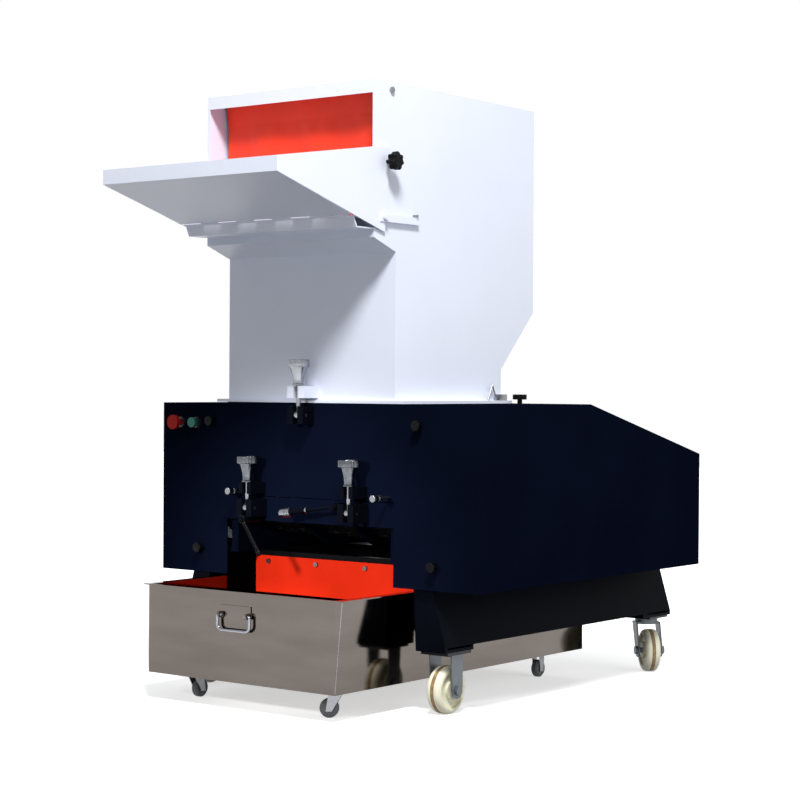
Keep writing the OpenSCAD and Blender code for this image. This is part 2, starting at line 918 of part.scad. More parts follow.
// The knuckles with an even number are the ledge's, the others the tray's
module knuckles(first) {
    x0 = hopper_x0 + 2 * sheet_t;
    for (i = [first : 2 : knuckle_count - 1])
        rod_x(x0 + i * knuckle_len + knuckle_gap / 2, x0 + (i + 1) * knuckle_len - knuckle_gap / 2,
            -hinge_front, hinge_z, knuckle_r);
}

// The leaf of each knuckle, which joins it to its sheet
module knuckle_leaves(first, y, z) {
    x0 = hopper_x0 + 2 * sheet_t;
    for (i = [first : 2 : knuckle_count - 1])
        block([x0 + i * knuckle_len + knuckle_gap / 2,
            x0 + (i + 1) * knuckle_len - knuckle_gap / 2], y, z);
}

module hinge_bore() {
    rod_x(hopper_x0 - over, hopper_x1 + over, -hinge_front, hinge_z, knuckle_pin_r + play);
}

module feed_ledge() {
    color([0.88, 0.89, 0.93]) at_front() difference() {
        union() {
            along_x(hopper_x0, hopper_x1) ledge_outline();
            knuckles(0);
            knuckle_leaves(0, [-hinge_front, -ledge_corner + ledge_t],
                [ledge_top_z - ledge_t, ledge_top_z]);
        }
        hinge_bore();
    }
}

module tray_hinge_pin() {
    color([0.5, 0.51, 0.53]) at_front() rod_x(hopper_x0 + 2 * sheet_t, hopper_x1 - 2 * sheet_t,
        -hinge_front, hinge_z, knuckle_pin_r);
}

// The tray's floor and lip, in a frame whose X runs down the floor from the hinge
module tray_sheet(x0, x1) {
    along_x(x0, x1) translate([-hinge_front, hinge_z]) polygon([
        [-floor_start * cos(tray_slope), floor_start * sin(tray_slope)],
        [-tray_len * cos(tray_slope), tray_len * sin(tray_slope)],
        [-tray_len * cos(tray_slope), tray_len * sin(tray_slope) + lip_h],
        [-tray_len * cos(tray_slope) + sheet_t, tray_len * sin(tray_slope) + lip_h],
        [-tray_len * cos(tray_slope) + sheet_t,
            (tray_len - sheet_t) * sin(tray_slope) + sheet_t],
        [-floor_start * cos(tray_slope), floor_start * sin(tray_slope) + sheet_t]]);
}

cheek_x = hopper_x1 + cheek_gap;
lip_y = -hinge_front - tray_len * cos(tray_slope);
lip_z = hinge_z + tray_len * sin(tray_slope);

module cheek() {
    difference() {
        along_x(cheek_x, cheek_x + sheet_t) polygon([[lip_y, lip_z], [-cheek_rear_low, cheek_low_z],
            [-cheek_rear_high, cheek_high_z], [-cheek_knee, cheek_knee_z], [lip_y, lip_z + lip_h]]);
        rod_x(cheek_x - over, cheek_x + sheet_t + over, tray_knob_y, tray_knob_z, stud_r + play);
    }
}

// The arm that runs back under the stop pin and holds the tray open
module stop_arm() {
    x0 = cheek_x + sheet_t;
    union() {
        block([x0, x0 + arm_t], [arm_y0, arm_y1], [arm_z, arm_z + arm_h]);
        rod_x(x0 + arm_t, x0 + arm_t + bolt_head_h, arm_bolt_y, arm_bolt_z, bolt_r);
    }
}

module feed_tray() {
    color([0.93, 0.94, 0.97]) at_front() difference() {
        union() {
            tray_sheet(2 * hopper_mid_x - cheek_x, cheek_x);
            both_hopper_sides() {
                cheek();
                stop_arm();
            }
            knuckles(1);
            knuckle_leaves(1, [-hinge_front - floor_start - ledge_t, -hinge_front],
                [hinge_z + knuckle_pin_r, hinge_z + knuckle_r]);
        }
        hinge_bore();
    }
}

// A star knob with its stud; the stud ends just short of the hopper's wall
module tray_knob() {
    off = cheek_x + sheet_t + tray_knob_off;
    union() {
        rod_x(hopper_x1 + seat_gap, off + tray_knob_h / 2, tray_knob_y, tray_knob_z, stud_r);
        translate([off, tray_knob_y, tray_knob_z]) rotate([0, 90, 0]) star(tray_knob_r, tray_knob_h);
    }
}

module tray_knob_right() {
    color([0.03, 0.03, 0.03]) at_front() tray_knob();
}

module tray_knob_left() {
    color([0.03, 0.03, 0.03]) at_front()
        translate([2 * hopper_mid_x, 0, 0]) mirror([1, 0, 0]) tray_knob();
}

module curtain_rod() {
    color([0.55, 0.56, 0.58]) at_front() union() {
        rod_x(hopper_x0 - hang_head_h, hopper_x1 + hang_head_h, hang_y, hang_z, hang_r);
        rod_x(hopper_x1, hopper_x1 + hang_head_h, hang_y, hang_z, hang_head_r);
        rod_x(hopper_x0 - hang_head_h, hopper_x0, hang_y, hang_z, hang_head_r);
    }
}

// Depth of the curtain's folds at a place along its width
function fold(u) = curtain_wave * sin(360 * curtain_waves * u) * (1 - u / 3);

module feed_curtain() {
    x0 = hopper_x0 + curtain_side_gap;
    width = hopper_w - 2 * curtain_side_gap;
    shares = [for (i = [0 : curtain_steps]) i / curtain_steps];
    front = [for (u = shares) [x0 + u * width, hang_y + fold(u) - curtain_t / 2]];
    back = [for (u = shares) [x0 + (1 - u) * width, hang_y + fold(1 - u) + curtain_t / 2]];
    color([0.92, 0.14, 0.06]) at_front() difference() {
        union() {
            translate([0, 0, curtain_bottom_z]) linear_extrude(hang_z - curtain_bottom_z)
                polygon(concat(front, back));
            rod_x(x0, x0 + width, hang_y, hang_z, hem_r);
        }
        rod_x(x0 - over, x0 + width + over, hang_y, hang_z, hang_r + play);
    }
}

module hopper_hinge() {
    y = neck_rear + flange_rear;
    z = chamber_top_z;
    color([0.05, 0.05, 0.06]) at_front() for (x = hinge_places) union() {
        block([x, x + hinge_leaf_w], [chamber_len, y + hinge_leaf_t], [z - hinge_leaf_h, z]);
        block([x, x + hinge_leaf_w], [y, y + hinge_leaf_t], [z - over, z + flange_t]);
        rod_x(x, x + hinge_leaf_w, y + hinge_leaf_t + hinge_barrel_r / 2, z + flange_t / 2,
            hinge_barrel_r);
    }
}

module motor_body() {
    x1 = motor_x0 + motor_len;
    base_z = beam_top_z + motor_base_t;
    fin_x0 = motor_x0 + bell_len;
    fin_x1 = x1 - bell_len;
    box_x0 = motor_x0 + motor_len / 2 - box_w / 2;
    box_y0 = motor_y - box_w / 2;
    box_z = motor_z + motor_r;
    foot_half = motor_foot_w / 2;
    color([0.16, 0.30, 0.48]) at_front() difference() {
        union() {
            rod_x(motor_x0, x1, motor_y, motor_z, motor_r - motor_fin);
            rod_x(motor_x0, fin_x0, motor_y, motor_z, motor_r);
            rod_x(fin_x1, x1, motor_y, motor_z, motor_r);
            for (i = [0 : fin_count - 1])
                translate([0, motor_y, motor_z]) rotate([(i + 0.5) * 360 / fin_count, 0, 0])
                    block([fin_x0 - over, fin_x1 + over], [-motor_fin_t / 2, motor_fin_t / 2],
                        [motor_r - 2 * motor_fin, motor_r]);
            for (x = [fin_x0, fin_x1 - motor_foot_len]) {
                block([x, x + motor_foot_len], [motor_y - foot_half, motor_y + foot_half],
                    [base_z, base_z + motor_foot_t]);
                for (y = [motor_y - foot_half, motor_y + foot_half - 2 * motor_foot_t])
                    block([x, x + motor_foot_len], [y, y + 2 * motor_foot_t],
                        [base_z, motor_z - motor_r / 4]);
            }
            block([box_x0, box_x0 + box_w], [box_y0, box_y0 + box_w], [motor_z, box_z + box_h]);
        }
        block([box_x0 + box_t, box_x0 + box_w - box_t], [box_y0 + box_t, box_y0 + box_w - box_t],
            [box_z + box_t, box_z + box_h - box_t]);
        rod_x(box_x0 - over, box_x0 + box_t + over, motor_y, box_z + box_h / 2, gland_r);
        rod_x(x1 - 2 * bell_len, x1 + over, motor_y, motor_z, motor_shaft_r + play);
    }
}

module motor_fan_cover() {
    x0 = motor_x0 - fan_cover_len;
    color([0.14, 0.27, 0.44]) at_front() difference() {
        rod_x(x0, motor_x0, motor_y, motor_z, motor_r);
        rod_x(x0 + fan_cover_t, motor_x0 + over, motor_y, motor_z, motor_r - fan_cover_t);
        for (r = [motor_r / 4, motor_r / 2, 3 * motor_r / 4], a = [0 : 60 : 300])
            translate([0, motor_y, motor_z]) rotate([a, 0, 0])
                rod_x(x0 - over, x0 + fan_cover_t + over, r, 0, bolt_r);
    }
}

// Y-Z outline round two pulleys: the rotor's and the motor's, at a belt's face
module belt_outline(rotor_face_r, motor_face_r) {
    d = [motor_y - rotor_y, motor_z - rotor_z];
    span = norm(d);
    u = d / span;
    s = (rotor_face_r - motor_face_r) / span;
    c = sqrt(1 - s * s);
    up = [u[0] * s - u[1] * c, u[1] * s + u[0] * c];
    down = [u[0] * s + u[1] * c, u[1] * s - u[0] * c];
    rotor_at = [rotor_y, rotor_z];
    motor_at = [motor_y, motor_z];
    union() {
        translate(rotor_at) circle(r = rotor_face_r, $fn = fine);
        translate(motor_at) circle(r = motor_face_r, $fn = fine);
        polygon([rotor_at + up * rotor_face_r, rotor_at + down * rotor_face_r,
            motor_at + down * motor_face_r, motor_at + up * motor_face_r]);
    }
}

module drive_belts() {
    rotor_in = rotor_pulley_r - groove_depth + belt_gap;
    motor_in = motor_pulley_r - groove_depth + belt_gap;
    color([0.05, 0.05, 0.05]) at_front() for (i = [0 : belt_count - 1]) {
        x = pulley_x + pulley_edge + i * groove_step + (groove_w - belt_w) / 2;
        along_x(x, x + belt_w) difference() {
            belt_outline(rotor_in + belt_t, motor_in + belt_t);
            belt_outline(rotor_in, motor_in);
        }
    }
}

// A grooved pulley with its bore on the X axis
module grooved_pulley(r, bore_r) {
    rotate([90, 0, 90]) difference() {
        cylinder(h = pulley_w, r = r, $fn = fine);
        translate([0, 0, -over]) cylinder(h = pulley_w + 2 * over, r = bore_r, $fn = fine);
        for (i = [0 : belt_count - 1])
            translate([0, 0, pulley_edge + i * groove_step]) difference() {
                cylinder(h = groove_w, r = r + over, $fn = fine);
                translate([0, 0, -over])
                    cylinder(h = groove_w + 2 * over, r = r - groove_depth, $fn = fine);
            }
    }
}

module rotor_pulley() {
    recess = pulley_w / 3;
    color([0.22, 0.23, 0.25]) at_front() translate([pulley_x, rotor_y, rotor_z]) difference() {
        grooved_pulley(rotor_pulley_r, shaft_r + play);
        rotate([90, 0, 90]) translate([0, 0, pulley_w - recess]) difference() {
            cylinder(h = recess + over, r = rotor_pulley_r - pulley_bore_wall, $fn = fine);
            translate([0, 0, -over]) cylinder(h = recess + 3 * over, r = hub_boss_r, $fn = fine);
        }
    }
}

module motor_pulley() {
    x1 = motor_x0 + motor_len;
    color([0.22, 0.23, 0.25]) at_front() union() {
        translate([pulley_x, motor_y, motor_z]) grooved_pulley(motor_pulley_r, motor_shaft_r / 2);
        rod_x(x1 - bell_len, pulley_x + pulley_w + over, motor_y, motor_z, motor_shaft_r);
    }
}

module rotor_shaft() {
    color([0.6, 0.6, 0.62]) at_front() rod_x(shaft_x0, shaft_x1, rotor_y, rotor_z, shaft_r);
}

disc_step = (side_in_x1 - side_in_x0) / disc_count;
knife_reach = sqrt(tip_r * tip_r - claw_knife_t * claw_knife_t);

// Y-Z outline of a claw disc: a round core with arms that carry the knives
module claw_outline() {
    root = core_r * claw_root_share;
    difference() {
        union() {
            circle(r = core_r, $fn = fine);
            for (i = [0 : claw_count - 1]) rotate([0, 0, i * 360 / claw_count])
                polygon([[0, -root], [claw_r, -claw_half], [claw_r, 0], [0, root]]);
        }
        for (i = [0 : claw_count - 1]) rotate([0, 0, i * 360 / claw_count])
            translate([knife_reach - claw_knife_w, 0]) square([claw_knife_w, claw_knife_w]);
        circle(r = shaft_r + play, $fn = fine);
    }
}

module rotor_discs() {
    color([0.25, 0.26, 0.28]) at_front() for (i = [0 : disc_count - 1])
        translate([side_in_x0 + (i + 0.5) * disc_step - disc_t / 2, rotor_y, rotor_z])
            rotate([90, 0, 90]) rotate([0, 0, i * claw_twist]) linear_extrude(disc_t)
                claw_outline();
}

module rotor_knives() {
    width = disc_step - 2 * over;
    color([0.7, 0.7, 0.72]) at_front() for (i = [0 : disc_count - 1], k = [0 : claw_count - 1])
        translate([side_in_x0 + (i + 0.5) * disc_step - width / 2, rotor_y, rotor_z])
            rotate([90, 0, 90]) rotate([0, 0, i * claw_twist + k * 360 / claw_count])
                translate([knife_reach - claw_knife_w, 0, 0])
                    cube([claw_knife_w, claw_knife_t, width]);
}

module flywheel() {
    side = (flywheel_t - flywheel_web) / 2;
    color([0.22, 0.23, 0.25]) at_front() translate([flywheel_x, rotor_y, rotor_z])
        rotate([90, 0, 90]) difference() {
            cylinder(h = flywheel_t, r = flywheel_r, $fn = fine);
            translate([0, 0, -over]) cylinder(h = flywheel_t + 2 * over, r = shaft_r + play,
                $fn = fine);
            for (z = [-over, flywheel_t - side]) translate([0, 0, z]) difference() {
                cylinder(h = side + over, r = flywheel_r - flywheel_rim, $fn = fine);
                translate([0, 0, -over]) cylinder(h = side + 3 * over, r = hub_boss_r, $fn = fine);
            }
        }
}

// A pivot bracket on a wall face at wall_y: a base and two ears with a pin hole
module pivot_bracket(x, y, wall_y, z) {
    inner = eye_w / 2 + ear_gap;
    half = inner + ear_w;
    difference() {
        block([x - half, x + half], [y - ear_nose, wall_y], [z - ear_above, z + ear_above]);
        block([x - inner, x + inner], [y - ear_nose - over, wall_y - ear_base_t],
            [z - ear_above - over, z + ear_above + over]);
        rod_x(x - half - over, x + half + over, y, z, pin_r + play);
    }
}

// A boss on the front with the pin that a lever turns on
module lever_boss(x, y, z) {
    back = y + lever_hub_w / 2 + seat_gap;
    front = y - lever_hub_w / 2 - seat_gap;
    union() {
        rod_y(back, 0, x, z, lever_boss_r);
        rod_y(front - pin_head_h, back + over, x, z, pin_r);
        rod_y(front - pin_head_h, front, x, z, pin_head_r);
    }
}

module clamp_brackets() {
    color([0.05, 0.05, 0.07]) at_front() {
        pivot_bracket(hopper_clamp_x, hopper_clamp_y, 0, hopper_pivot_z);
        union() {
            pivot_bracket(left_clamp_x, low_clamp_y, 0, low_pivot_z);
            lever_boss(short_lever_x, short_lever_y, short_lever_z);
        }
        pivot_bracket(right_clamp_x, low_clamp_y, 0, low_pivot_z);
        lever_boss(long_lever_x, long_lever_y, long_lever_z);
        for (x = [left_clamp_x, right_clamp_x])
            fork(x, low_clamp_y, 0, low_fork_z, low_fork_h, low_prong_w);
    }
}

// The three pins the swing bolts turn on
module clamp_pins() {
    half = eye_w / 2 + ear_gap + ear_w;
    rod_x(hopper_clamp_x - half, hopper_clamp_x + half, hopper_clamp_y, hopper_pivot_z, pin_r);
    for (x = [left_clamp_x, right_clamp_x])
        rod_x(x - half, x + half, low_clamp_y, low_pivot_z, pin_r);
}

// A swing bolt with its eye round the pivot; the top end goes into the knob
module swing_bolt(x, y, pivot_z, seat_z) {
    difference() {
        union() {
            rod_x(x - eye_w / 2, x + eye_w / 2, y, pivot_z, eye_r);
            rod_z(pivot_z, seat_z + knob_seat_gap + bolt_in_knob, x, y, swing_bolt_d / 2);
        }
        rod_x(x - eye_w, x + eye_w, y, pivot_z, pin_r + play);
    }
}

// A clamp knob standing on the fork: a cone with a knurled disc on top
module clamp_knob(x, y, seat_z, shoulder_r) {
    z0 = seat_z + knob_seat_gap;
    neck_h = clamp_knob_h - knob_disc_h;
    translate([x, y, z0]) rotate_extrude($fn = fine) polygon([
        [swing_bolt_d / 2 + play, 0], [knob_neck_r, 0], [knob_neck_r, neck_h / 4],
        [shoulder_r, neck_h], [clamp_knob_d / 2, neck_h], [clamp_knob_d / 2, clamp_knob_h],
        [0, clamp_knob_h], [0, bolt_in_knob + seat_gap],
        [swing_bolt_d / 2 + play, bolt_in_knob + seat_gap]]);
}

hopper_seat_z = hopper_fork_z + fork_h;
low_seat_z = low_fork_z + low_fork_h;
metal = [0.72, 0.73, 0.74];

module hopper_swing_bolt() {
    color(metal) at_front()
        swing_bolt(hopper_clamp_x, hopper_clamp_y, hopper_pivot_z, hopper_seat_z);
}

module left_swing_bolt() {
    color(metal) at_front() swing_bolt(left_clamp_x, low_clamp_y, low_pivot_z, low_seat_z);
}

module right_swing_bolt() {
    color(metal) at_front() swing_bolt(right_clamp_x, low_clamp_y, low_pivot_z, low_seat_z);
}

module hopper_clamp_knob() {
    color(metal) at_front()
        clamp_knob(hopper_clamp_x, hopper_clamp_y, hopper_seat_z, clamp_knob_d / 2);
}

module left_clamp_knob() {
    color(metal) at_front() clamp_knob(left_clamp_x, low_clamp_y, low_seat_z, knob_shoulder_r);
}

module right_clamp_knob() {
    color(metal) at_front() clamp_knob(right_clamp_x, low_clamp_y, low_seat_z, knob_shoulder_r);
}

// A lever along +X from its hub on the Y axis, with a collar and a ringed grip
module lever(length, collar_at) {
    difference() {
        union() {
            rod_y(-lever_hub_w / 2, lever_hub_w / 2, 0, 0, lever_hub_r);
            rod_x(pin_r + over, length, 0, 0, lever_r);
            rod_x(collar_at, collar_at + lever_collar_w, 0, 0, lever_collar_r);
            rod_x(length - lever_grip_len, length, 0, 0, lever_grip_r);
        }
        rod_y(-lever_hub_w / 2 - over, lever_hub_w / 2 + over, 0, 0, pin_r + play);
        for (i = [1 : 3])
            translate([length - lever_grip_len + i * lever_collar_w, 0, 0]) difference() {
                rod_x(0, lever_collar_w / 2, 0, 0, lever_grip_r + over);
                rod_x(-over, lever_collar_w, 0, 0, lever_grip_r - lever_collar_w / 4);
            }
    }
}

module long_lever() {
    color(metal) at_front() translate([long_lever_x, long_lever_y, long_lever_z])
        rotate([0, 180 - long_lever_drop, 0]) lever(long_lever_len, lever_collar_at);
}

module short_lever() {
    color([0.10, 0.10, 0.12]) at_front() translate([short_lever_x, short_lever_y, short_lever_z])
        rotate([0, 90 - short_lever_lean, 0]) lever(short_lever_len, lever_collar_at / 2);
}

// A thumb screw in the front wall, with a collar behind its knurled head
module lock_screw(x, y) {
    union() {
        rod_y(y, 0, x, lock_screw_z, lock_rod_r);
        rod_y(y - lock_knob_h / 2, y + lock_knob_h / 2, x, lock_screw_z, lock_knob_r);
        rod_y(y + lock_knob_h / 2 + lock_collar_gap,
            y + lock_knob_h / 2 + lock_collar_gap + lock_collar_h, x, lock_screw_z, lock_collar_r);
    }
}

// A knob on the face at Z = 0: its stud goes through the sheet to a nut behind it
module cover_knob(r) {
    union() {
        translate([0, 0, cover_knob_neck]) star(r, cover_knob_h);
        cylinder(h = cover_knob_neck + over, r = cover_knob_r / 2, $fn = fine);
        translate([0, 0, -cover_t - cover_nut_h])
            cylinder(h = cover_t + cover_nut_h + over, r = cover_screw_r, $fn = fine);
        translate([0, 0, -cover_t - cover_nut_h])
            cylinder(h = cover_nut_h, r = cover_nut_r, $fn = 6);
    }
}

module cover_knobs() {
    color([0.03, 0.03, 0.03]) at_front() {
        for (p = left_knob_places)
            translate([chamber_x0 - p[0], 0, p[1]]) rotate([90, 0, 0]) cover_knob(cover_knob_r);
        for (p = right_knob_places)
            translate([chamber_x1 + p[0], 0, p[1]]) rotate([90, 0, 0]) cover_knob(cover_knob_r);
        translate([chamber_x1 + top_knob_place[0], top_knob_place[1], chamber_top_z])
            cover_knob(top_knob_r);
    }
}

// A round bar in a Y-Z plane between two points given as Y and Z
module sloped_bar(x, p, q, r) {
    d = q - p;
    translate([x, p[0], p[1]]) rotate([atan2(d[1], d[0]) - 90, 0, 0])
        cylinder(h = norm(d), r = r, $fn = fine);
}

// The block and the bent bar on the hopper's flange
module flange_loop() {
    z = chamber_top_z + flange_t;
    y1 = neck_rear + flange_rear;
    tip = [(loop_y0 + loop_y1) / 2, z + loop_h];
    block([hopper_x1, hopper_x1 + block_w], [y1 - block_len, y1], [z, z + block_h]);
    difference() {
        union() {
            sloped_bar(loop_x, [loop_y0, z - over], tip, loop_r);
            sloped_bar(loop_x, [loop_y1, z - over], tip, loop_r);
            translate([loop_x, tip[0], tip[1]]) sphere(r = loop_r, $fn = fine);
        }
        block([loop_x - block_w, loop_x + block_w], [loop_y0 - block_w, loop_y1 + block_w],
            [z - block_h, z]);
    }
}

module fasteners() {
    color([0.4, 0.41, 0.43]) at_front() {
        clamp_pins();
        flange_loop();
        for (i = [0 : chute_screw_count - 1])
            rod_y(chute_front - chute_screw_h, chute_front,
                chute_x0 + chute_screw_edge + i * chute_screw_step, chute_screw_z, chute_screw_r);
        for (p = lock_screw_places) lock_screw(p[0], p[1]);
        both_hopper_sides() rod_x(hopper_x1, cheek_x + sheet_t + arm_t + bolt_head_h / 2,
            stop_pin_y, arm_z + arm_h + seat_gap + stop_pin_r, stop_pin_r);
    }
}

module button_bezels() {
    color([0.6, 0.61, 0.63]) at_front() for (x = [stop_x, start_x]) difference() {
        union() {
            rod_y(-bezel_h, 0, x, button_z, bezel_r);
            rod_y(-over, bezel_back, x, button_z, bezel_r - cover_t - play);
            rod_y(cover_t, cover_t + bezel_nut_h, x, button_z, bezel_nut_r);
        }
        rod_y(-bezel_h - over, bezel_back + over, x, button_z, stem_r + play);
    }
}

// A button: a stem in the bezel and a round head in front of it
module button(x, d, head_h, off) {
    union() {
        rod_y(-off - head_h, -off, x, button_z, d / 2);
        rod_y(-off, bezel_back - button_travel, x, button_z, stem_r);
    }
}

module stop_button() {
    color([0.85, 0.05, 0.08]) at_front() button(stop_x, stop_d, stop_head_h, stop_off);
}

module start_button() {
    color([0.05, 0.55, 0.35]) at_front() button(start_x, start_d, start_head_h, start_off);
}

module bin() {
    x0 = bin_mid_x - bin_w / 2;
    x1 = bin_mid_x + bin_w / 2;
    y0 = -bin_front;
    y1 = bin_len - bin_front;
    color([0.62, 0.60, 0.58]) at_front() union() {
        difference() {
            union() {
                block([x0, x1], [y0, y1], [bin_floor_z, bin_rim_z]);
                block([x0 - bin_flange_w, x1 + bin_flange_w], [y0, y1],
                    [bin_rim_z - bin_t, bin_rim_z]);
            }
            block([x0 + bin_t, x1 - bin_t], [y0 + bin_t, y1 - bin_t],
                [bin_floor_z + bin_t, bin_rim_z + over]);
            block([x0 + bin_t, x1 - bin_t], [y1 - bin_t - over, y1 + over],
                [bin_back_z, bin_rim_z + over]);
        }
        handle_plate(y0);
    }
}

// The plate on the bin's front with the two ears that hold the handle
module handle_plate(y0) {
    ear_x = bail_w / 2 - bail_r - seat_gap - bail_ear_w;
    union() {
        block([bin_handle_x - handle_plate_w / 2, bin_handle_x + handle_plate_w / 2],
            [y0 - handle_plate_t, y0 + over],
            [handle_plate_z - bail_ear_r, handle_plate_z + handle_plate_h]);
        for (x = [bin_handle_x - ear_x - bail_ear_w, bin_handle_x + ear_x]) difference() {
            union() {
                block([x, x + bail_ear_w], [y0 - bail_off, y0 - over],
                    [bail_pivot_z - bail_ear_r, bail_pivot_z + bail_ear_r]);
                rod_x(x, x + bail_ear_w, y0 - bail_off, bail_pivot_z, bail_ear_r);
            }
            rod_x(bin_handle_x - bail_w, bin_handle_x + bail_w, y0 - bail_off, bail_pivot_z,
                bail_r + play);
        }
    }
}

module bin_handle() {
    y = -bin_front - bail_off;
    ear_x = bail_w / 2 - bail_r - seat_gap - bail_ear_w;
    low_z = bail_pivot_z - bail_drop;
    color(metal) at_front() union() {
        for (s = [-1, 1]) {
            x = bin_handle_x + s * bail_w / 2;
            rod_z(low_z, bail_pivot_z, x, y, bail_r);
            translate([x, y, bail_pivot_z]) sphere(r = bail_r, $fn = fine);
            translate([x, y, low_z]) sphere(r = bail_r, $fn = fine);
            rod_x(min(x, bin_handle_x + s * ear_x), max(x, bin_handle_x + s * ear_x), y,
                bail_pivot_z, bail_r);
        }
        rod_x(bin_handle_x - bail_w / 2, bin_handle_x + bail_w / 2, y, low_z, bail_r);
    }
}

bin_wheel_r = bin_wheel_d / 2;
bin_fork_half = bin_wheel_w / 2 + bin_fork_gap;

// A small fork round the wheel at the origin's height, trailing towards +X
module bin_fork(offset_x) {
    top_z = bin_floor_z - bin_plate_t - bin_race_h;
    half = bin_fork_half + bin_fork_t;
    foot = 2 * bin_axle_r;
    union() {
        block([-bin_fork_w / 2, max(bin_fork_w / 2, offset_x)], [-half, half],
            [top_z - bin_plate_t, top_z]);
        for (s = [-1, 1]) {
            y = s * (bin_fork_half + bin_fork_t / 2) - bin_fork_t / 2;
            along_y(y, y + bin_fork_t) polygon([[-bin_fork_w / 2, top_z],
                [offset_x - foot, bin_wheel_r - foot], [offset_x + foot, bin_wheel_r - foot],
                [max(bin_fork_w / 2, offset_x), top_z]]);
        }
        rod_y(-half, half, offset_x, bin_wheel_r, bin_axle_r);
    }
}

// A swivel fork of the bin at the origin, with its race and swivel pin
module bin_swivel() {
    top_z = bin_floor_z - bin_plate_t;
    low_z = top_z - bin_race_h - bin_plate_t;
    difference() {
        union() {
            bin_fork(bin_trail);
            rod_z(low_z, top_z - seat_gap, 0, 0, bin_race_r);
        }
        rod_z(low_z - over, top_z, 0, 0, bin_swivel_r + play);
    }
}

module bin_swivel_right() {
    color([0.62, 0.63, 0.65]) at_front()
        translate([bin_mid_x + bin_caster_x, bin_caster_front, 0]) rotate([0, 0, bin_right_turn])
            bin_swivel();
}

module bin_swivel_left() {
    color([0.62, 0.63, 0.65]) at_front()
        translate([bin_mid_x - bin_caster_x, bin_caster_front, 0]) rotate([0, 0, bin_left_turn])
            bin_swivel();
}

module bin_caster_mounts() {
    low_z = bin_floor_z - bin_plate_t;
    half = bin_plate / 2;
    color([0.62, 0.63, 0.65]) at_front() for (s = [-1, 1]) {
        translate([bin_mid_x + s * bin_caster_x, bin_caster_rear, 0]) union() {
            rotate([0, 0, 90]) bin_fork(0);
            rod_z(low_z - bin_race_h - bin_plate_t, low_z + over, 0, 0, bin_race_r);
            block([-half, half], [-half, half], [low_z, bin_floor_z]);
        }
        translate([bin_mid_x + s * bin_caster_x, bin_caster_front, 0]) union() {
            block([-half, half], [-half, half], [low_z, bin_floor_z]);
            rod_z(low_z - bin_race_h - bin_plate_t, low_z + over, 0, 0, bin_swivel_r);
        }
    }
}

// A wheel of the bin on the Y axis, with its bore for the axle
module bin_wheel() {
    w = bin_wheel_w / 2;
    r = bin_wheel_r;
    edge = bin_wheel_w / 5;
    rotate([90, 0, 0]) rotate_extrude($fn = fine) polygon([[bin_axle_r + play, -w],
        [r - edge, -w], [r, edge - w], [r, w - edge], [r - edge, w], [bin_axle_r + play, w]]);
}

module place_bin_wheel(x, y, turn, offset_x) {
    color([0.35, 0.36, 0.38]) at_front() translate([x, y, bin_wheel_r]) rotate([0, 0, turn])
        translate([offset_x, 0, 0]) bin_wheel();
}

module bin_wheel_front_right() {
    place_bin_wheel(bin_mid_x + bin_caster_x, bin_caster_front, bin_right_turn, bin_trail);
}

module bin_wheel_front_left() {
    place_bin_wheel(bin_mid_x - bin_caster_x, bin_caster_front, bin_left_turn, bin_trail);
}

module bin_wheel_rear_right() {
    place_bin_wheel(bin_mid_x + bin_caster_x, bin_caster_rear, 90, 0);
}

module bin_wheel_rear_left() {
    place_bin_wheel(bin_mid_x - bin_caster_x, bin_caster_rear, 90, 0);
}

wheel_r = wheel_d / 2;
fork_half = wheel_w / 2 + fork_side_gap;

// The two arms and the axle of a main caster, whose wheel stands offset_x from the origin
module caster_fork(offset_x, top_z) {
    half = fork_half + fork_t;
    low = fork_arm_low_w / 2;
    union() {
        for (s = [-1, 1]) {
            y0 = s * (fork_half + fork_t / 2) - fork_t / 2;
            along_y(y0, y0 + fork_t) polygon([[-fork_arm_w / 2, top_z], [offset_x - low, wheel_r],
                [offset_x + low, wheel_r], [fork_arm_w / 2, top_z]]);
            rod_y(y0, y0 + fork_t, offset_x, wheel_r, low);
        }
        rod_y(-half - axle_head_h, half + axle_head_h, offset_x, wheel_r, axle_r);
        for (y = [-half - axle_head_h, half]) rod_y(y, y + axle_head_h, offset_x, wheel_r, axle_head_r);
        block([-fork_arm_w / 2, fork_arm_w / 2], [-half, half], [top_z - crown_t, top_z]);
    }
}

module caster_mounts() {
    top_z = foot_z - caster_plate_t;
    x = caster_plate_x / 2;
    y = caster_plate_y / 2;
    color([0.30, 0.32, 0.34]) at_front() both_frames() {
        translate([frame_mid_x + front_caster_off, front_caster_y, 0]) union() {
            rotate([0, 0, 90]) caster_fork(0, top_z + over);
            block([-x, x], [-y, y], [top_z, foot_z]);
        }
        translate([frame_mid_x + rear_caster_off, rear_caster_y, 0]) union() {
            block([-x, x], [-y, y], [top_z, foot_z]);
            rod_z(top_z - race_h / 2, top_z + over, 0, 0, race_r);
            rod_z(top_z - race_h - crown_t, top_z + over, 0, 0, swivel_r);
        }
    }
}

// A rear fork with its race, trailing towards +X from the swivel axis
module rear_fork() {
    top_z = foot_z - caster_plate_t - race_h;
    difference() {
        union() {
            caster_fork(trail, top_z);
            rod_z(top_z - crown_t, top_z + race_h / 2 - seat_gap, 0, 0, race_r);
        }
        rod_z(top_z - crown_t - over, top_z + race_h, 0, 0, swivel_r + play);
    }
}

module rear_fork_right() {
    color([0.16, 0.17, 0.17]) at_front()
        translate([frame_mid_x + rear_caster_off, rear_caster_y, 0]) rotate([0, 0, right_turn])
            rear_fork();
}

module rear_fork_left() {
    color([0.16, 0.17, 0.17]) at_front()
        translate([frame_mid_x - rear_caster_off, rear_caster_y, 0]) rotate([0, 0, left_turn])
            rear_fork();
}

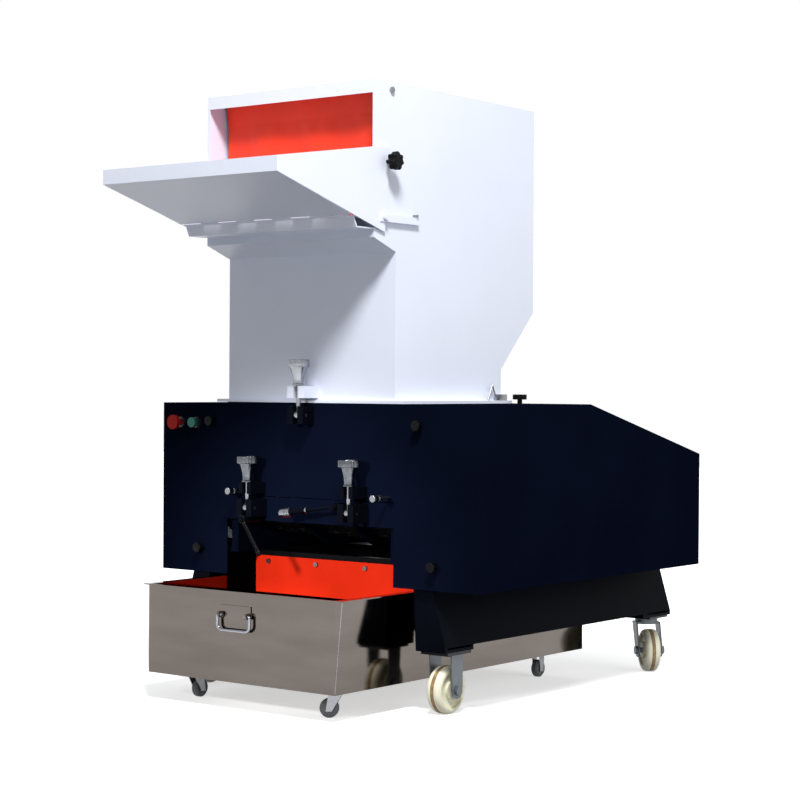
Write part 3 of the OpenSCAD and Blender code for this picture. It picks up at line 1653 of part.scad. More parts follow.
// A main wheel on the Y axis: rounded tread, recessed sides and a bored hub
module main_wheel() {
    w = wheel_w / 2;
    r = wheel_r;
    e = tyre_round;
    inner_w = w - wheel_recess;
    steps = [15, 30, 45, 60, 75];
    front = [for (a = steps) [r - e + e * sin(a), w - e + e * cos(a)]];
    back = [for (a = steps) [r - e + e * cos(a), e - w - e * sin(a)]];
    side = [[wheel_recess_r, inner_w], [wheel_recess_r, w], [r - e, w]];
    other = [[r - e, -w], [wheel_recess_r, -w], [wheel_recess_r, -inner_w]];
    rotate([90, 0, 0]) rotate_extrude($fn = fine) polygon(concat(
        [[axle_r + play, -w], [axle_r + play, w], [wheel_hub_r, w], [wheel_hub_r, inner_w]],
        side, front, [[r, w - e], [r, e - w]], back, other,
        [[wheel_hub_r, -inner_w], [wheel_hub_r, -w]]));
}

module place_main_wheel(x, y, turn, offset_x) {
    color([0.90, 0.88, 0.74]) at_front() translate([x, y, wheel_r]) rotate([0, 0, turn])
        translate([offset_x, 0, 0]) main_wheel();
}

module front_wheel_right() {
    place_main_wheel(frame_mid_x + front_caster_off, front_caster_y, 90, 0);
}

module front_wheel_left() {
    place_main_wheel(frame_mid_x - front_caster_off, front_caster_y, 90, 0);
}

module rear_wheel_right() {
    place_main_wheel(frame_mid_x + rear_caster_off, rear_caster_y, right_turn, trail);
}

module rear_wheel_left() {
    place_main_wheel(frame_mid_x - rear_caster_off, rear_caster_y, left_turn, trail);
}

side_frames();
cross_members();
chamber_sides();
chamber_front();
chamber_rear();
screen_cradle();
screen();
bed_knives();
bearing_housings();
discharge_chute();
flywheel_cover();
belt_cover();
cover_knobs();
hopper();
feed_ledge();
tray_hinge_pin();
curtain_rod();
motor_body();
motor_fan_cover();
drive_belts();
button_bezels();
clamp_brackets();
fasteners();
caster_mounts();
hopper_hinge();
rotor_shaft();
rotor_discs();
rotor_knives();
flywheel();
rotor_pulley();
motor_pulley();
feed_tray();
tray_knob_right();
tray_knob_left();
feed_curtain();
stop_button();
start_button();
hopper_swing_bolt();
left_swing_bolt();
right_swing_bolt();
hopper_clamp_knob();
left_clamp_knob();
right_clamp_knob();
long_lever();
short_lever();
bin();
bin_handle();
bin_swivel_right();
bin_swivel_left();
bin_caster_mounts();
bin_wheel_front_right();
bin_wheel_front_left();
bin_wheel_rear_right();
bin_wheel_rear_left();
front_wheel_right();
front_wheel_left();
rear_fork_right();
rear_fork_left();
rear_wheel_right();
rear_wheel_left();
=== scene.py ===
import json
import math
import random

import bpy
from mathutils import Matrix, Vector


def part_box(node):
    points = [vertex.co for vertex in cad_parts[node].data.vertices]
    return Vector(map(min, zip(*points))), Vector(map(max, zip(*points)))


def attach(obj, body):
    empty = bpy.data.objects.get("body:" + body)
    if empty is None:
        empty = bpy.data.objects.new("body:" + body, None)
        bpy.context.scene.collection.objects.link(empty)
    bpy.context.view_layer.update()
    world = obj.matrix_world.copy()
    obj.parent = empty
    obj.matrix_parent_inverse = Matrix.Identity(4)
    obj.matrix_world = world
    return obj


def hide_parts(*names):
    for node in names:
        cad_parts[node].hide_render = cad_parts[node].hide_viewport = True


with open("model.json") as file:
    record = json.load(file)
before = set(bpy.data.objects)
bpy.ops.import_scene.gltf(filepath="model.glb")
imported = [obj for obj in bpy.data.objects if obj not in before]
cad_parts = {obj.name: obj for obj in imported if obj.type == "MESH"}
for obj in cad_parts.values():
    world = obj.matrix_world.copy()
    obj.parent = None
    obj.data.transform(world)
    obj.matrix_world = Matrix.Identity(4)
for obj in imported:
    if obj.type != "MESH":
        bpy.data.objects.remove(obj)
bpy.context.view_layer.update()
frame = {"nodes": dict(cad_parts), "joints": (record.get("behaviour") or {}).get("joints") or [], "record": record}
nodes = frame["nodes"]
scene = bpy.context.scene

# The frame is in metres: MM turns a size in millimetres into metres
MM = 0.001

# Places taken from the frame: the covers' front plane and the two side walls of the hopper
FRONT_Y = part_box("flywheel_cover")[0][1]
HOPPER_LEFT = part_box("feed_ledge")[0][0]
HOPPER_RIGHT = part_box("feed_ledge")[1][0]


def in_mm(*pairs):
    """Points of a profile, (radius, height), given in millimetres."""
    return [(radius * MM, height * MM) for radius, height in pairs]


def middle(box):
    low, high = box
    return [(a + b) / 2 for a, b in zip(low, high)]


def joint_of(name):
    return next(joint for joint in frame["joints"] if joint["name"] == name)


def slot_of(node_name):
    for row in frame["record"]["subparts"]:
        if row["node"] == node_name:
            return row["material_slot"]
    return "steel"


# Camera, fitted to the photograph: metres, degrees, and millimetres for the lens
CAMERA_PLACE = (3.4023, -4.38605, 0.8538)
CAMERA_YAW = 37.545
CAMERA_PITCH = -0.431
CAMERA_ROLL = 0.349
CAMERA_LENS = 88.1
CAMERA_SENSOR = 36
CAMERA_REACH = 100


def add_camera():
    yaw, pitch, roll = (math.radians(a) for a in (CAMERA_YAW, CAMERA_PITCH, CAMERA_ROLL))
    forward = Vector((-math.sin(yaw) * math.cos(pitch), math.cos(yaw) * math.cos(pitch),
                      math.sin(pitch)))
    level = Vector((math.cos(yaw), math.sin(yaw), 0))
    up = level.cross(forward)
    right = level * math.cos(roll) + up * math.sin(roll)
    top = up * math.cos(roll) - level * math.sin(roll)
    data = bpy.data.cameras.new("camera")
    data.lens = CAMERA_LENS
    data.sensor_width = CAMERA_SENSOR
    data.clip_end = CAMERA_REACH
    camera = bpy.data.objects.new("camera", data)
    turn = Matrix((right, top, -forward)).transposed().to_4x4()
    camera.matrix_world = Matrix.Translation(CAMERA_PLACE) @ turn
    scene.collection.objects.link(camera)
    scene.camera = camera


# Lamps: place, aim and size in metres, power in watts; a lamp with a cone, in degrees, is a spot
LAMPS = {
    "key": dict(place=(2.3, -2.6, 4.6), aim=(0, 0, 0.9), size=(0.9, 0.9), power=285),
    "right_fill": dict(place=(5.0, 0.6, 2.2), aim=(0, 0.2, 1.0), size=(3.0, 3.0), power=42,
                       glossy=False),
    "low_front": dict(place=(0.1, -2.4, 1.05), aim=(-0.02, -0.24, 0.32), size=(0.12, 0.12),
                      power=170, cone=28, glossy=False),
    "back": dict(place=(-2.5, 4.5, 3.4), aim=(0, 0, 0.9), size=(3.0, 2.0), power=60),
}
CONE_SOFTNESS = 0.7


def add_lamp(name, place, aim, size, power, cone=None, glossy=True):
    data = bpy.data.lights.new(name, "SPOT" if cone else "AREA")
    if cone:
        data.spot_size = math.radians(cone)
        data.spot_blend = CONE_SOFTNESS
        data.shadow_soft_size = size[0]
    else:
        data.shape = "RECTANGLE"
        data.size, data.size_y = size
    data.energy = power
    lamp = bpy.data.objects.new(name, data)
    lamp.location = place
    lamp.visible_camera = False
    lamp.visible_glossy = glossy
    lamp.rotation_euler = (Vector(aim) - Vector(place)).to_track_quat("-Z", "Y").to_euler()
    scene.collection.objects.link(lamp)


# Shader nodes
def add_node(tree, kind, values=None, operation=None):
    """A shader node with the values of some of its sockets."""
    node = tree.nodes.new(kind)
    if operation:
        node.operation = operation
    for socket, value in (values or {}).items():
        node.inputs[socket].default_value = value
    return node


def add_math(tree, operation, first, second):
    """The result of a sum on two sockets, or on a socket and a number."""
    node = add_node(tree, "ShaderNodeMath", operation=operation)
    tree.links.new(first, node.inputs[0])
    if isinstance(second, (int, float)):
        node.inputs[1].default_value = second
    else:
        tree.links.new(second, node.inputs[1])
    return node.outputs[0]


def own_place(tree):
    return tree.nodes.new("ShaderNodeTexCoord").outputs["Object"]


def seen_directly(tree):
    """1 for camera, glossy and transmission rays, 0 for the rays that light the object."""
    rays = tree.nodes.new("ShaderNodeLightPath").outputs
    seen = add_math(tree, "MAXIMUM", rays["Is Camera Ray"], rays["Is Glossy Ray"])
    return add_math(tree, "MAXIMUM", seen, rays["Is Transmission Ray"])


# World: white where it is seen, and dimmer where it lights the object
AMBIENT_COLOR = (0.96, 0.98, 1.0, 1)
AMBIENT_STRENGTH = 0.40
WHITE = (1, 1, 1, 1)


def add_world():
    world = bpy.data.worlds.new("studio")
    scene.world = world
    world.use_nodes = True
    tree = world.node_tree
    tree.nodes.clear()
    ambient = add_node(tree, "ShaderNodeBackground",
                       {"Color": AMBIENT_COLOR, "Strength": AMBIENT_STRENGTH})
    backdrop = add_node(tree, "ShaderNodeBackground", {"Color": WHITE, "Strength": 1})
    mix = add_node(tree, "ShaderNodeMixShader")
    out = add_node(tree, "ShaderNodeOutputWorld")
    tree.links.new(seen_directly(tree), mix.inputs[0])
    tree.links.new(ambient.outputs[0], mix.inputs[1])
    tree.links.new(backdrop.outputs[0], mix.inputs[2])
    tree.links.new(mix.outputs[0], out.inputs[0])


# Floor: pale where it is seen, greyer for the light that it throws back, and a glow that
# grows from the object outwards, so that only the shadow near the object stays
FLOOR_REACH = 14
FLOOR_ROUGH = 0.9
FLOOR_SEEN = 0.93
FLOOR_BOUNCE = 0.26
GLOW_FROM = 0.9
GLOW_FULL = 3.0
GLOW_NEAR = 0.55


def add_floor():
    mesh = bpy.data.meshes.new("floor")
    corners = [(x * FLOOR_REACH, y * FLOOR_REACH, 0) for x, y in ((-1, -1), (1, -1), (1, 1), (-1, 1))]
    mesh.from_pydata(corners, [], [(0, 1, 2, 3)])
    floor = bpy.data.objects.new("floor", mesh)
    scene.collection.objects.link(floor)
    mat = bpy.data.materials.new("floor_white")
    mat.use_nodes = True
    tree = mat.node_tree
    links = tree.links
    shader = tree.nodes["Principled BSDF"]
    shader.inputs["Roughness"].default_value = FLOOR_ROUGH
    shader.inputs["Specular IOR Level"].default_value = 0.0
    shader.inputs["Emission Color"].default_value = WHITE
    seen = seen_directly(tree)
    tone = add_node(tree, "ShaderNodeMapRange", {"To Min": FLOOR_BOUNCE, "To Max": FLOOR_SEEN})
    links.new(seen, tone.inputs["Value"])
    links.new(tone.outputs["Result"], shader.inputs["Base Color"])
    distance = add_node(tree, "ShaderNodeVectorMath", operation="LENGTH")
    links.new(own_place(tree), distance.inputs[0])
    glow = add_node(tree, "ShaderNodeMapRange",
                    {"From Min": GLOW_FROM, "From Max": GLOW_FULL, "To Min": GLOW_NEAR, "To Max": 1})
    links.new(distance.outputs["Value"], glow.inputs["Value"])
    strength = add_math(tree, "MULTIPLY", glow.outputs["Result"], seen)
    links.new(strength, shader.inputs["Emission Strength"])
    mesh.materials.append(mat)


# Materials: how every surface is mottled, soiled and roughened
CLOUD_DETAIL = 6
CLOUD_LOW, CLOUD_HIGH = 0.3, 0.7
DIRT_DETAIL = 9
DIRT_BREAKUP = 0.65
DIRT_SPREAD = 5
DIRT_FROM, DIRT_FULL = 0.62, 0.80
DIRT_COVER = 0.75
LEAST_ROUGH = 0.02
FINE_DETAIL = 3
RELIEF_DEPTH = 2 * MM


def soiled(tree, clean, color, share, grain):
    """Patches of dirt over a clean colour."""
    patches = add_node(tree, "ShaderNodeTexNoise",
                       {"Scale": grain / DIRT_SPREAD, "Detail": DIRT_DETAIL, "Roughness": DIRT_BREAKUP})
    tree.links.new(own_place(tree), patches.inputs["Vector"])
    edge = add_node(tree, "ShaderNodeMapRange",
                    {"From Min": DIRT_FROM - share, "From Max": DIRT_FULL - share / 2,
                     "To Max": DIRT_COVER})
    tree.links.new(patches.outputs["Fac"], edge.inputs["Value"])
    return mixed(tree, edge.outputs["Result"], clean, color)


def mixed(tree, share, first, color):
    """The first colour, and the other one where the share is 1."""
    mix = tree.nodes.new("ShaderNodeMix")
    mix.data_type = "RGBA"
    mix.inputs["B"].default_value = (*color, 1)
    tree.links.new(share, mix.inputs["Factor"])
    tree.links.new(first, mix.inputs["A"])
    return mix.outputs["Result"]


def surface(name, color, rough, metallic=0.0, mottle=0.06, grain=60.0, bump=0.02, specular=0.5,
            stretch=(1, 1, 1), rough_spread=0.08, dirt=None, dirt_share=0.0, fine_grain=900.0):
    """A procedural surface: mottled colour, uneven gloss, fine bump and optional dirt."""
    mat = bpy.data.materials.new(name)
    mat.use_nodes = True
    tree = mat.node_tree
    links = tree.links
    shader = tree.nodes["Principled BSDF"]
    shader.inputs["Metallic"].default_value = metallic
    shader.inputs["Specular IOR Level"].default_value = specular
    mapping = add_node(tree, "ShaderNodeMapping", {"Scale": stretch})
    links.new(own_place(tree), mapping.inputs["Vector"])
    cloud = add_node(tree, "ShaderNodeTexNoise", {"Scale": grain, "Detail": CLOUD_DETAIL})
    links.new(mapping.outputs[0], cloud.inputs["Vector"])
    tone = tree.nodes.new("ShaderNodeValToRGB")
    dark, light = tone.color_ramp.elements
    dark.position, light.position = CLOUD_LOW, CLOUD_HIGH
    dark.color = [c * (1 - mottle) for c in color] + [1]
    light.color = [min(1, c * (1 + mottle)) for c in color] + [1]
    links.new(cloud.outputs["Fac"], tone.inputs["Fac"])
    result = tone.outputs["Color"]
    if dirt:
        result = soiled(tree, result, dirt, dirt_share, grain)
    links.new(result, shader.inputs["Base Color"])
    gloss = add_node(tree, "ShaderNodeMapRange",
                     {"To Min": max(LEAST_ROUGH, rough - rough_spread),
                      "To Max": min(1, rough + rough_spread)})
    links.new(cloud.outputs["Fac"], gloss.inputs["Value"])
    links.new(gloss.outputs["Result"], shader.inputs["Roughness"])
    fine = add_node(tree, "ShaderNodeTexNoise", {"Scale": fine_grain, "Detail": FINE_DETAIL})
    links.new(mapping.outputs[0], fine.inputs["Vector"])
    relief = add_node(tree, "ShaderNodeBump", {"Strength": bump, "Distance": RELIEF_DEPTH})
    links.new(fine.outputs["Fac"], relief.inputs["Height"])
    links.new(relief.outputs["Normal"], shader.inputs["Normal"])
    return mat


# Looks, at plain linear colours. Grain and fine grain are noise scales per metre
LOOK_TABLE = {
    "white_sheet": dict(color=(0.77, 0.81, 0.93), rough=0.42, mottle=0.015, grain=5, bump=0.03,
                        fine_grain=1600, specular=0.4),
    "navy_sheet": dict(color=(0.0027, 0.0043, 0.0125), rough=0.5, mottle=0.15, grain=4, bump=0.05,
                       fine_grain=1500, specular=0.0),
    "black_frame": dict(color=(0.0018, 0.0025, 0.0050), rough=0.5, mottle=0.2, grain=9, bump=0.08,
                        fine_grain=1100, specular=0.02),
    "red_curtain": dict(color=(1.0, 0.048, 0.017), rough=0.42, mottle=0.08, grain=14, bump=0.10,
                        fine_grain=1300, specular=0.3),
    "mirror_sheet": dict(color=(0.120, 0.104, 0.093), rough=0.07, metallic=1, mottle=0.10, grain=3.5,
                         bump=0.012, stretch=(1, 1, 5), rough_spread=0.03, fine_grain=420),
    "steel": dict(color=(0.29, 0.295, 0.31), rough=0.3, metallic=1, mottle=0.12, grain=40, bump=0.03,
                  rough_spread=0.12),
    "bright_knob": dict(color=(0.27, 0.28, 0.31), rough=0.24, metallic=1, mottle=0.10, grain=70,
                        bump=0.03, rough_spread=0.10),
    "cast": dict(color=(0.07, 0.075, 0.085), rough=0.55, metallic=0.6, mottle=0.2, grain=60,
                 bump=0.25, fine_grain=500),
    "motor_paint": dict(color=(0.045, 0.12, 0.24), rough=0.42, mottle=0.10, grain=18, bump=0.06),
    "black_plastic": dict(color=(0.003, 0.003, 0.004), rough=0.32, mottle=0.2, grain=40, bump=0.10,
                          specular=0.08),
    "belt_rubber": dict(color=(0.012, 0.012, 0.012), rough=0.8, mottle=0.2, grain=50, bump=0.2,
                        specular=0.2),
    "red_button": dict(color=(0.36, 0.008, 0.008), rough=0.35, mottle=0.05, grain=60, bump=0.02,
                       specular=0.1),
    "green_button": dict(color=(0.015, 0.15, 0.12), rough=0.35, mottle=0.05, grain=60, bump=0.02,
                         specular=0.3),
    "cream_nylon": dict(color=(0.86, 0.84, 0.65), rough=0.45, mottle=0.05, grain=35, bump=0.05,
                        dirt=(0.42, 0.31, 0.16), dirt_share=0.04),
    "grey_rubber": dict(color=(0.125, 0.130, 0.138), rough=0.6, mottle=0.18, grain=90, bump=0.12,
                        dirt=(0.2, 0.18, 0.15), dirt_share=0.03),
    "tread_seam": dict(color=(0.30, 0.20, 0.10), rough=0.65, mottle=0.35, grain=90, bump=0.2),
    "fork_steel": dict(color=(0.125, 0.140, 0.155), rough=0.42, metallic=0.5, mottle=0.10, grain=30,
                       bump=0.04),
    "mount_steel": dict(color=(0.125, 0.140, 0.155), rough=0.42, metallic=0.5, mottle=0.10, grain=30,
                        bump=0.04),
    "chute_sheet": dict(color=(0.88, 0.030, 0.008), rough=0.42, mottle=0.06, grain=8, bump=0.04,
                        specular=0.06),
    # A darker copy of the bright knob metal: painted shade for the two lower clamp knobs
    "shaded_knob": dict(color=(0.13, 0.137, 0.15), rough=0.22, metallic=1, mottle=0.20, grain=90,
                      bump=0.05, rough_spread=0.12),
    "dark_collar": dict(color=(0.02, 0.02, 0.024), rough=0.35, mottle=0.15, grain=60),
}
LOOKS = {name: surface(name, **row) for name, row in LOOK_TABLE.items()}

# Nodes with a look of their own; the others wear the look of their slot in the record
NODE_LOOKS = {"button_bezels": "dark_collar", "caster_mounts": "mount_steel",
              "rear_fork_right": "fork_steel", "rear_fork_left": "fork_steel",
              "discharge_chute": "chute_sheet"}

# Rounding of the sheets' and frames' edges, in millimetres
SHARP_EDGE = math.radians(32)
EDGE_STEPS = 2
EDGE_RADII = {
    1.8: ("flywheel_cover", "belt_cover"),
    1.6: ("hopper", "side_frames", "cross_members"),
    1.5: ("chamber_sides", "chamber_front", "chamber_rear"),
    1.2: ("feed_tray", "screen_cradle"),
    1.0: ("clamp_brackets", "motor_body", "hopper_hinge"),
    0.9: ("feed_ledge", "bin", "discharge_chute"),
    0.8: ("caster_mounts", "rear_fork_right", "rear_fork_left"),
    0.5: ("bin_caster_mounts",),
}


def smooth(mesh):
    for face in mesh.polygons:
        face.use_smooth = True
    mesh.set_sharp_from_angle(angle=SHARP_EDGE)


def dress_nodes():
    for name, node in nodes.items():
        node.data.materials.clear()
        node.data.materials.append(LOOKS[NODE_LOOKS.get(name, slot_of(name))])
        smooth(node.data)
    for radius, names in EDGE_RADII.items():
        for name in names:
            bevel = nodes[name].modifiers.new("edge", "BEVEL")
            bevel.width = radius * MM
            bevel.segments = EDGE_STEPS
            bevel.limit_method = "ANGLE"
            bevel.angle_limit = SHARP_EDGE
            bevel.use_clamp_overlap = True
            bevel.harden_normals = True


def recolour_inside(look, node_name, low, high, color):
    """Gives the look another colour inside a box of the frame, in the node's own coordinates."""
    own = nodes[node_name].matrix_world.inverted()
    tree = look.node_tree
    axes = tree.nodes.new("ShaderNodeSeparateXYZ")
    tree.links.new(own_place(tree), axes.inputs[0])
    inside = None
    for at, least, most in zip(axes.outputs, own @ Vector(low), own @ Vector(high)):
        for operation, edge in (("GREATER_THAN", least), ("LESS_THAN", most)):
            test = add_math(tree, operation, at, edge)
            inside = test if inside is None else add_math(tree, "MULTIPLY", inside, test)
    base = tree.nodes["Principled BSDF"].inputs["Base Color"]
    tree.links.new(mixed(tree, inside, base.links[0].from_socket, color), base)


# Painted shade: near-black colour for the chute's inner faces and the ring above its front plate
CHUTE_PAINTED_SHADE = (0.004, 0.004, 0.005)
CHUTE_SKIN = 1.5 * MM
PLATE_BLACK = (0.0025, 0.0033, 0.0062)
PLATE_THICK = 8.5 * MM
BEYOND = 1
FAR = 9


def shade_parts():
    """The chute's inside is coloured near-black as painted shade, and the caster plates are black like the frame.
    """
    low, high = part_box("discharge_chute")
    # Painted shade: everything inside the chute's box, behind its front skin, is coloured near-black
    recolour_inside(LOOKS["chute_sheet"], "discharge_chute",
                    (low[0] + CHUTE_SKIN, low[1] + CHUTE_SKIN, low[2] - BEYOND),
                    (high[0] - CHUTE_SKIN, high[1] + BEYOND, high[2] + BEYOND), CHUTE_PAINTED_SHADE)
    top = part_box("caster_mounts")[1][2]
    recolour_inside(LOOKS["mount_steel"], "caster_mounts", (-FAR, -FAR, top - PLATE_THICK),
                    (FAR, FAR, FAR), PLATE_BLACK)


# Shapes
def add_piece(name, points, faces, look, body, slot):
    mesh = bpy.data.meshes.new(name)
    mesh.from_pydata(points, [], faces)
    mesh.validate()
    mesh.update()
    mesh.materials.append(LOOKS[look])
    smooth(mesh)
    piece = bpy.data.objects.new(name, mesh)
    scene.collection.objects.link(piece)
    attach(piece, body)
    return piece


def joined(*shapes):
    """The points and faces of several shapes in one list."""
    points, faces = [], []
    for more_points, more_faces in shapes:
        start = len(points)
        points += more_points
        faces += [tuple(i + start for i in face) for face in more_faces]
    return points, faces


def turned(profile, steps, centre, axis, ripple=None, closed=True):
    """A profile of (radius, height) turned about an axis.

    ripple(angle, radius, height) adds to the radius, and closed caps both ends.
    """
    spin = Vector((0, 0, 1)).rotation_difference(Vector(axis)).to_matrix()
    points, faces = [], []
    for i in range(steps):
        angle = 2 * math.pi * i / steps
        for radius, height in profile:
            r = radius + (ripple(angle, radius, height) if ripple else 0)
            local = Vector((r * math.cos(angle), r * math.sin(angle), height))
            points.append(tuple(Vector(centre) + spin @ local))
    n = len(profile)
    for i in range(steps):
        j = (i + 1) % steps
        for k in range(n - 1):
            faces.append((i * n + k, j * n + k, j * n + k + 1, i * n + k + 1))
    if closed:
        faces.append(tuple(i * n for i in reversed(range(steps))))
        faces.append(tuple(i * n + n - 1 for i in range(steps)))
    return points, faces


def tube(centres, radii, steps, frames):
    """Rings of steps points about centres, joined into a rod that is closed at both ends."""
    points, faces = [], []
    last = len(centres) - 1
    for centre, radius, (side, up) in zip(centres, radii, frames):
        for k in range(steps):
            t = 2 * math.pi * k / steps
            points.append(tuple(centre + (side * math.cos(t) + up * math.sin(t)) * radius))
    for i in range(last):
        for k in range(steps):
            m = (k + 1) % steps
            faces.append((i * steps + k, i * steps + m, (i + 1) * steps + m, (i + 1) * steps + k))
    faces.append(tuple(reversed(range(steps))))
    faces.append(tuple(last * steps + k for k in range(steps)))
    return points, faces


def swept(path, radius, steps=20):
    """A round rod of one radius along a path of points."""
    frames, side = [], None
    last = len(path) - 1
    for i in range(last + 1):
        along = (path[min(i + 1, last)] - path[max(i - 1, 0)]).normalized()
        side = along.orthogonal() if side is None else side - along * side.dot(along)
        side = side.normalized()
        frames.append((side, along.cross(side)))
    return tube(path, [radius] * (last + 1), steps, frames)


# Clamp knobs: a footed cone under a knurled disc with a dished top
KNURLS = 44
KNURL_STEPS = 6
KNURL_DEPTH = 0.9 * MM
KNOB_NECK = 13.5 * MM
KNOB_FOOT = in_mm((6.2, 0), (15, 0), (16, 1), (16, 3.5), (13.5, 6))
KNOB_ROUND = 2 * MM
KNOB_DISH = 2.5 * MM
RIM_BAND = 0.5 * MM
TOP_SHOULDER_SHARE = 0.92
LOW_SHOULDER_SHARE = 0.76
DISH_EDGE_SHARE = 0.72
DISH_FLOOR_SHARE = 0.66
BOSS_FOOT = 8 * MM
BOSS_TOP = 7 * MM
BOSS_BORE = 1 * MM
BOSS_SUNK = 1 * MM
CONE_SHARE = 5 / 7
NECK_SHARE = 0.25
CONE_STEPS = 8
CONE_POWER = 1.6


def add_clamp_knob(node_name, body, shoulder_share, look):
    low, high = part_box(node_name)
    x, y, _ = middle((low, high))
    rim = (high[0] - low[0]) / 2
    height = high[2] - low[2]
    disc = height * CONE_SHARE
    shoulder = rim * shoulder_share
    edge = rim - KNOB_ROUND
    dish = height - KNOB_DISH
    profile = [*KNOB_FOOT, (KNOB_NECK, disc * NECK_SHARE)]
    for i in range(1, CONE_STEPS + 1):
        t = i / CONE_STEPS
        profile.append((KNOB_NECK + (shoulder - KNOB_NECK) * t ** CONE_POWER,
                        disc * (NECK_SHARE + (1 - NECK_SHARE) * t)))
    profile += [(edge, disc), (rim, disc + KNOB_ROUND), (rim, height - KNOB_ROUND), (edge, height),
                (rim * DISH_EDGE_SHARE, height), (rim * DISH_FLOOR_SHARE, dish), (BOSS_FOOT, dish),
                (BOSS_TOP, height - BOSS_SUNK), (BOSS_BORE, height - BOSS_SUNK)]

    def knurl(angle, radius, at):
        on_rim = radius > rim - RIM_BAND and disc < at < height
        return -KNURL_DEPTH * (0.5 + 0.5 * math.cos(KNURLS * angle)) if on_rim else 0

    points, faces = turned(profile, KNURLS * KNURL_STEPS, (x, y, low[2]), (0, 0, 1), knurl)
    piece = add_piece("knurled_" + node_name, points, faces, look, body, "bright_knob")
    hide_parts(node_name)


# Curtain: one rubber sheet looped over its rod
CURTAIN_COLUMNS = 150
CURTAIN_ROWS = 90
CURTAIN_THICK = 2.0 * MM
LOOP_RADIUS = 7.4 * MM
LOOP_STEPS = 14
LOOP_FROM = -60
LOOP_TURN = 240
LOOP_TAPER = 6
HEM = 1 * MM

# Its waves: folds, drift and ripples are counted in turns over the sheet's width or drop, and
# dents, sway and starts in radians
FOLDS = 3
FOLD_DEPTH = 5.0 * MM
FOLD_AT_ROD_SHARE = 0.55
FOLDS_FADE_WIDTHS = 3
DRIFT_DEPTH = 1.3 * MM
DRIFT_ACROSS, DRIFT_DOWN = 1.4, 0.6
DRIFT_START = 0.8
RIPPLE_DEPTH = 0.7 * MM
RIPPLES_ACROSS, RIPPLES_DOWN = 9.0, 1.2
RIPPLE_SWAY, RIPPLE_SWAY_DOWN = 1.9, 5
DENT_DEPTH = 0.9 * MM
DENTS_ACROSS, DENTS_DOWN = 14, 6.5
DENTS_START = 3
DENTS_SLANT = 4
LOOSE_FROM_SHARE = 1 / 5


def curtain_wave(u, v):
    """Depth of the sheet at a share u of its width and v of its drop: folds, drift, ripples, dents."""
    turn = 2 * math.pi
    folds = FOLD_DEPTH * math.sin(turn * FOLDS * u) * (1 - u / FOLDS_FADE_WIDTHS)
    drift = DRIFT_DEPTH * math.sin(turn * (DRIFT_ACROSS * u + DRIFT_DOWN * v) + DRIFT_START)
    sway = RIPPLE_SWAY * math.sin(RIPPLE_SWAY_DOWN * v)
    ripples = RIPPLE_DEPTH * math.sin(turn * (RIPPLES_ACROSS * u - RIPPLES_DOWN * v) + sway)
    dents = DENT_DEPTH * math.sin(DENTS_ACROSS * u + DENTS_START)
    dents *= math.sin(DENTS_DOWN * v + DENTS_SLANT * u)
    loose = min(1, v / LOOSE_FROM_SHARE)
    grown = FOLD_AT_ROD_SHARE + (1 - FOLD_AT_ROD_SHARE) * v
    return (folds * grown + (drift + ripples + dents) * loose) * loose


def add_curtain():
    low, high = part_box("feed_curtain")
    _, rod_y, rod_z = middle(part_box("curtain_rod"))
    drop = rod_z - low[2]
    width = high[0] - low[0]
    points = []
    for i in range(CURTAIN_COLUMNS + 1):
        u = i / CURTAIN_COLUMNS
        x = low[0] + u * width
        for k in range(LOOP_STEPS):
            angle = math.radians(LOOP_FROM + LOOP_TURN * k / LOOP_STEPS)
            points.append((x, rod_y + LOOP_RADIUS * math.cos(angle),
                           rod_z + LOOP_RADIUS * math.sin(angle)))
        for k in range(CURTAIN_ROWS + 1):
            v = k / CURTAIN_ROWS
            lean = -LOOP_RADIUS * max(0, 1 - LOOP_TAPER * v)
            points.append((x, rod_y + lean + curtain_wave(u, v), rod_z - v * (drop - HEM)))
    n = LOOP_STEPS + CURTAIN_ROWS + 1
    faces = [(i * n + k, i * n + k + 1, (i + 1) * n + k + 1, (i + 1) * n + k)
             for i in range(CURTAIN_COLUMNS) for k in range(n - 1)]
    piece = add_piece("curtain_sheet", points, faces, "red_curtain", "curtain", "red_curtain")
    thick = piece.modifiers.new("thickness", "SOLIDIFY")
    thick.thickness = CURTAIN_THICK
    thick.offset = 0
    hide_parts("feed_curtain")


# A brown, slightly worn seam round the middle of each cream wheel
SEAM_HALF = 5.5 * MM
SEAM_PROUD = 0.35 * MM
SEAM_SUNK = 3 * MM
SEAM_WEAR = 0.12 * MM
SEAM_WAVES = 17
SEAM_SWAY, SEAM_SWAY_WAVES = 3, 5
SEAM_STEPS = 120
SEAMED_WHEELS = {"front_wheel_right": "wheel_fr", "front_wheel_left": "wheel_fl",
                 "rear_wheel_right": "wheel_rr", "rear_wheel_left": "wheel_rl"}


def add_tread_seam(node_name, body):
    low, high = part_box(node_name)
    axis = joint_of(node_name + "_roll")["axis"]
    radius = (high[2] - low[2]) / 2
    shore = radius + SEAM_PROUD / 3
    profile = [(radius - SEAM_SUNK, -SEAM_HALF), (shore, -SEAM_HALF),
               (radius + SEAM_PROUD, -SEAM_HALF / 2), (radius + SEAM_PROUD, SEAM_HALF / 2),
               (shore, SEAM_HALF), (radius - SEAM_SUNK, SEAM_HALF)]

    def worn(angle, r, at):
        sway = SEAM_SWAY * math.sin(SEAM_SWAY_WAVES * angle)
        return SEAM_WEAR * math.sin(SEAM_WAVES * angle + sway) if r > radius else 0

    points, faces = turned(profile, SEAM_STEPS, middle((low, high)), axis, worn, closed=False)
    add_piece("seam_" + node_name, points, faces, "tread_seam", body, "cream_nylon")


# Weld beads: overlapping round ripples along a line
BEAD_RING = 8
BEAD_PITCH_SHARE = 0.5
BEAD_END_SHARE = 0.3
BEAD_LEAST_SHARE = 0.78
BEAD_BEAT = 1.57
BEAD_UNEVEN_SHARE = 0.04


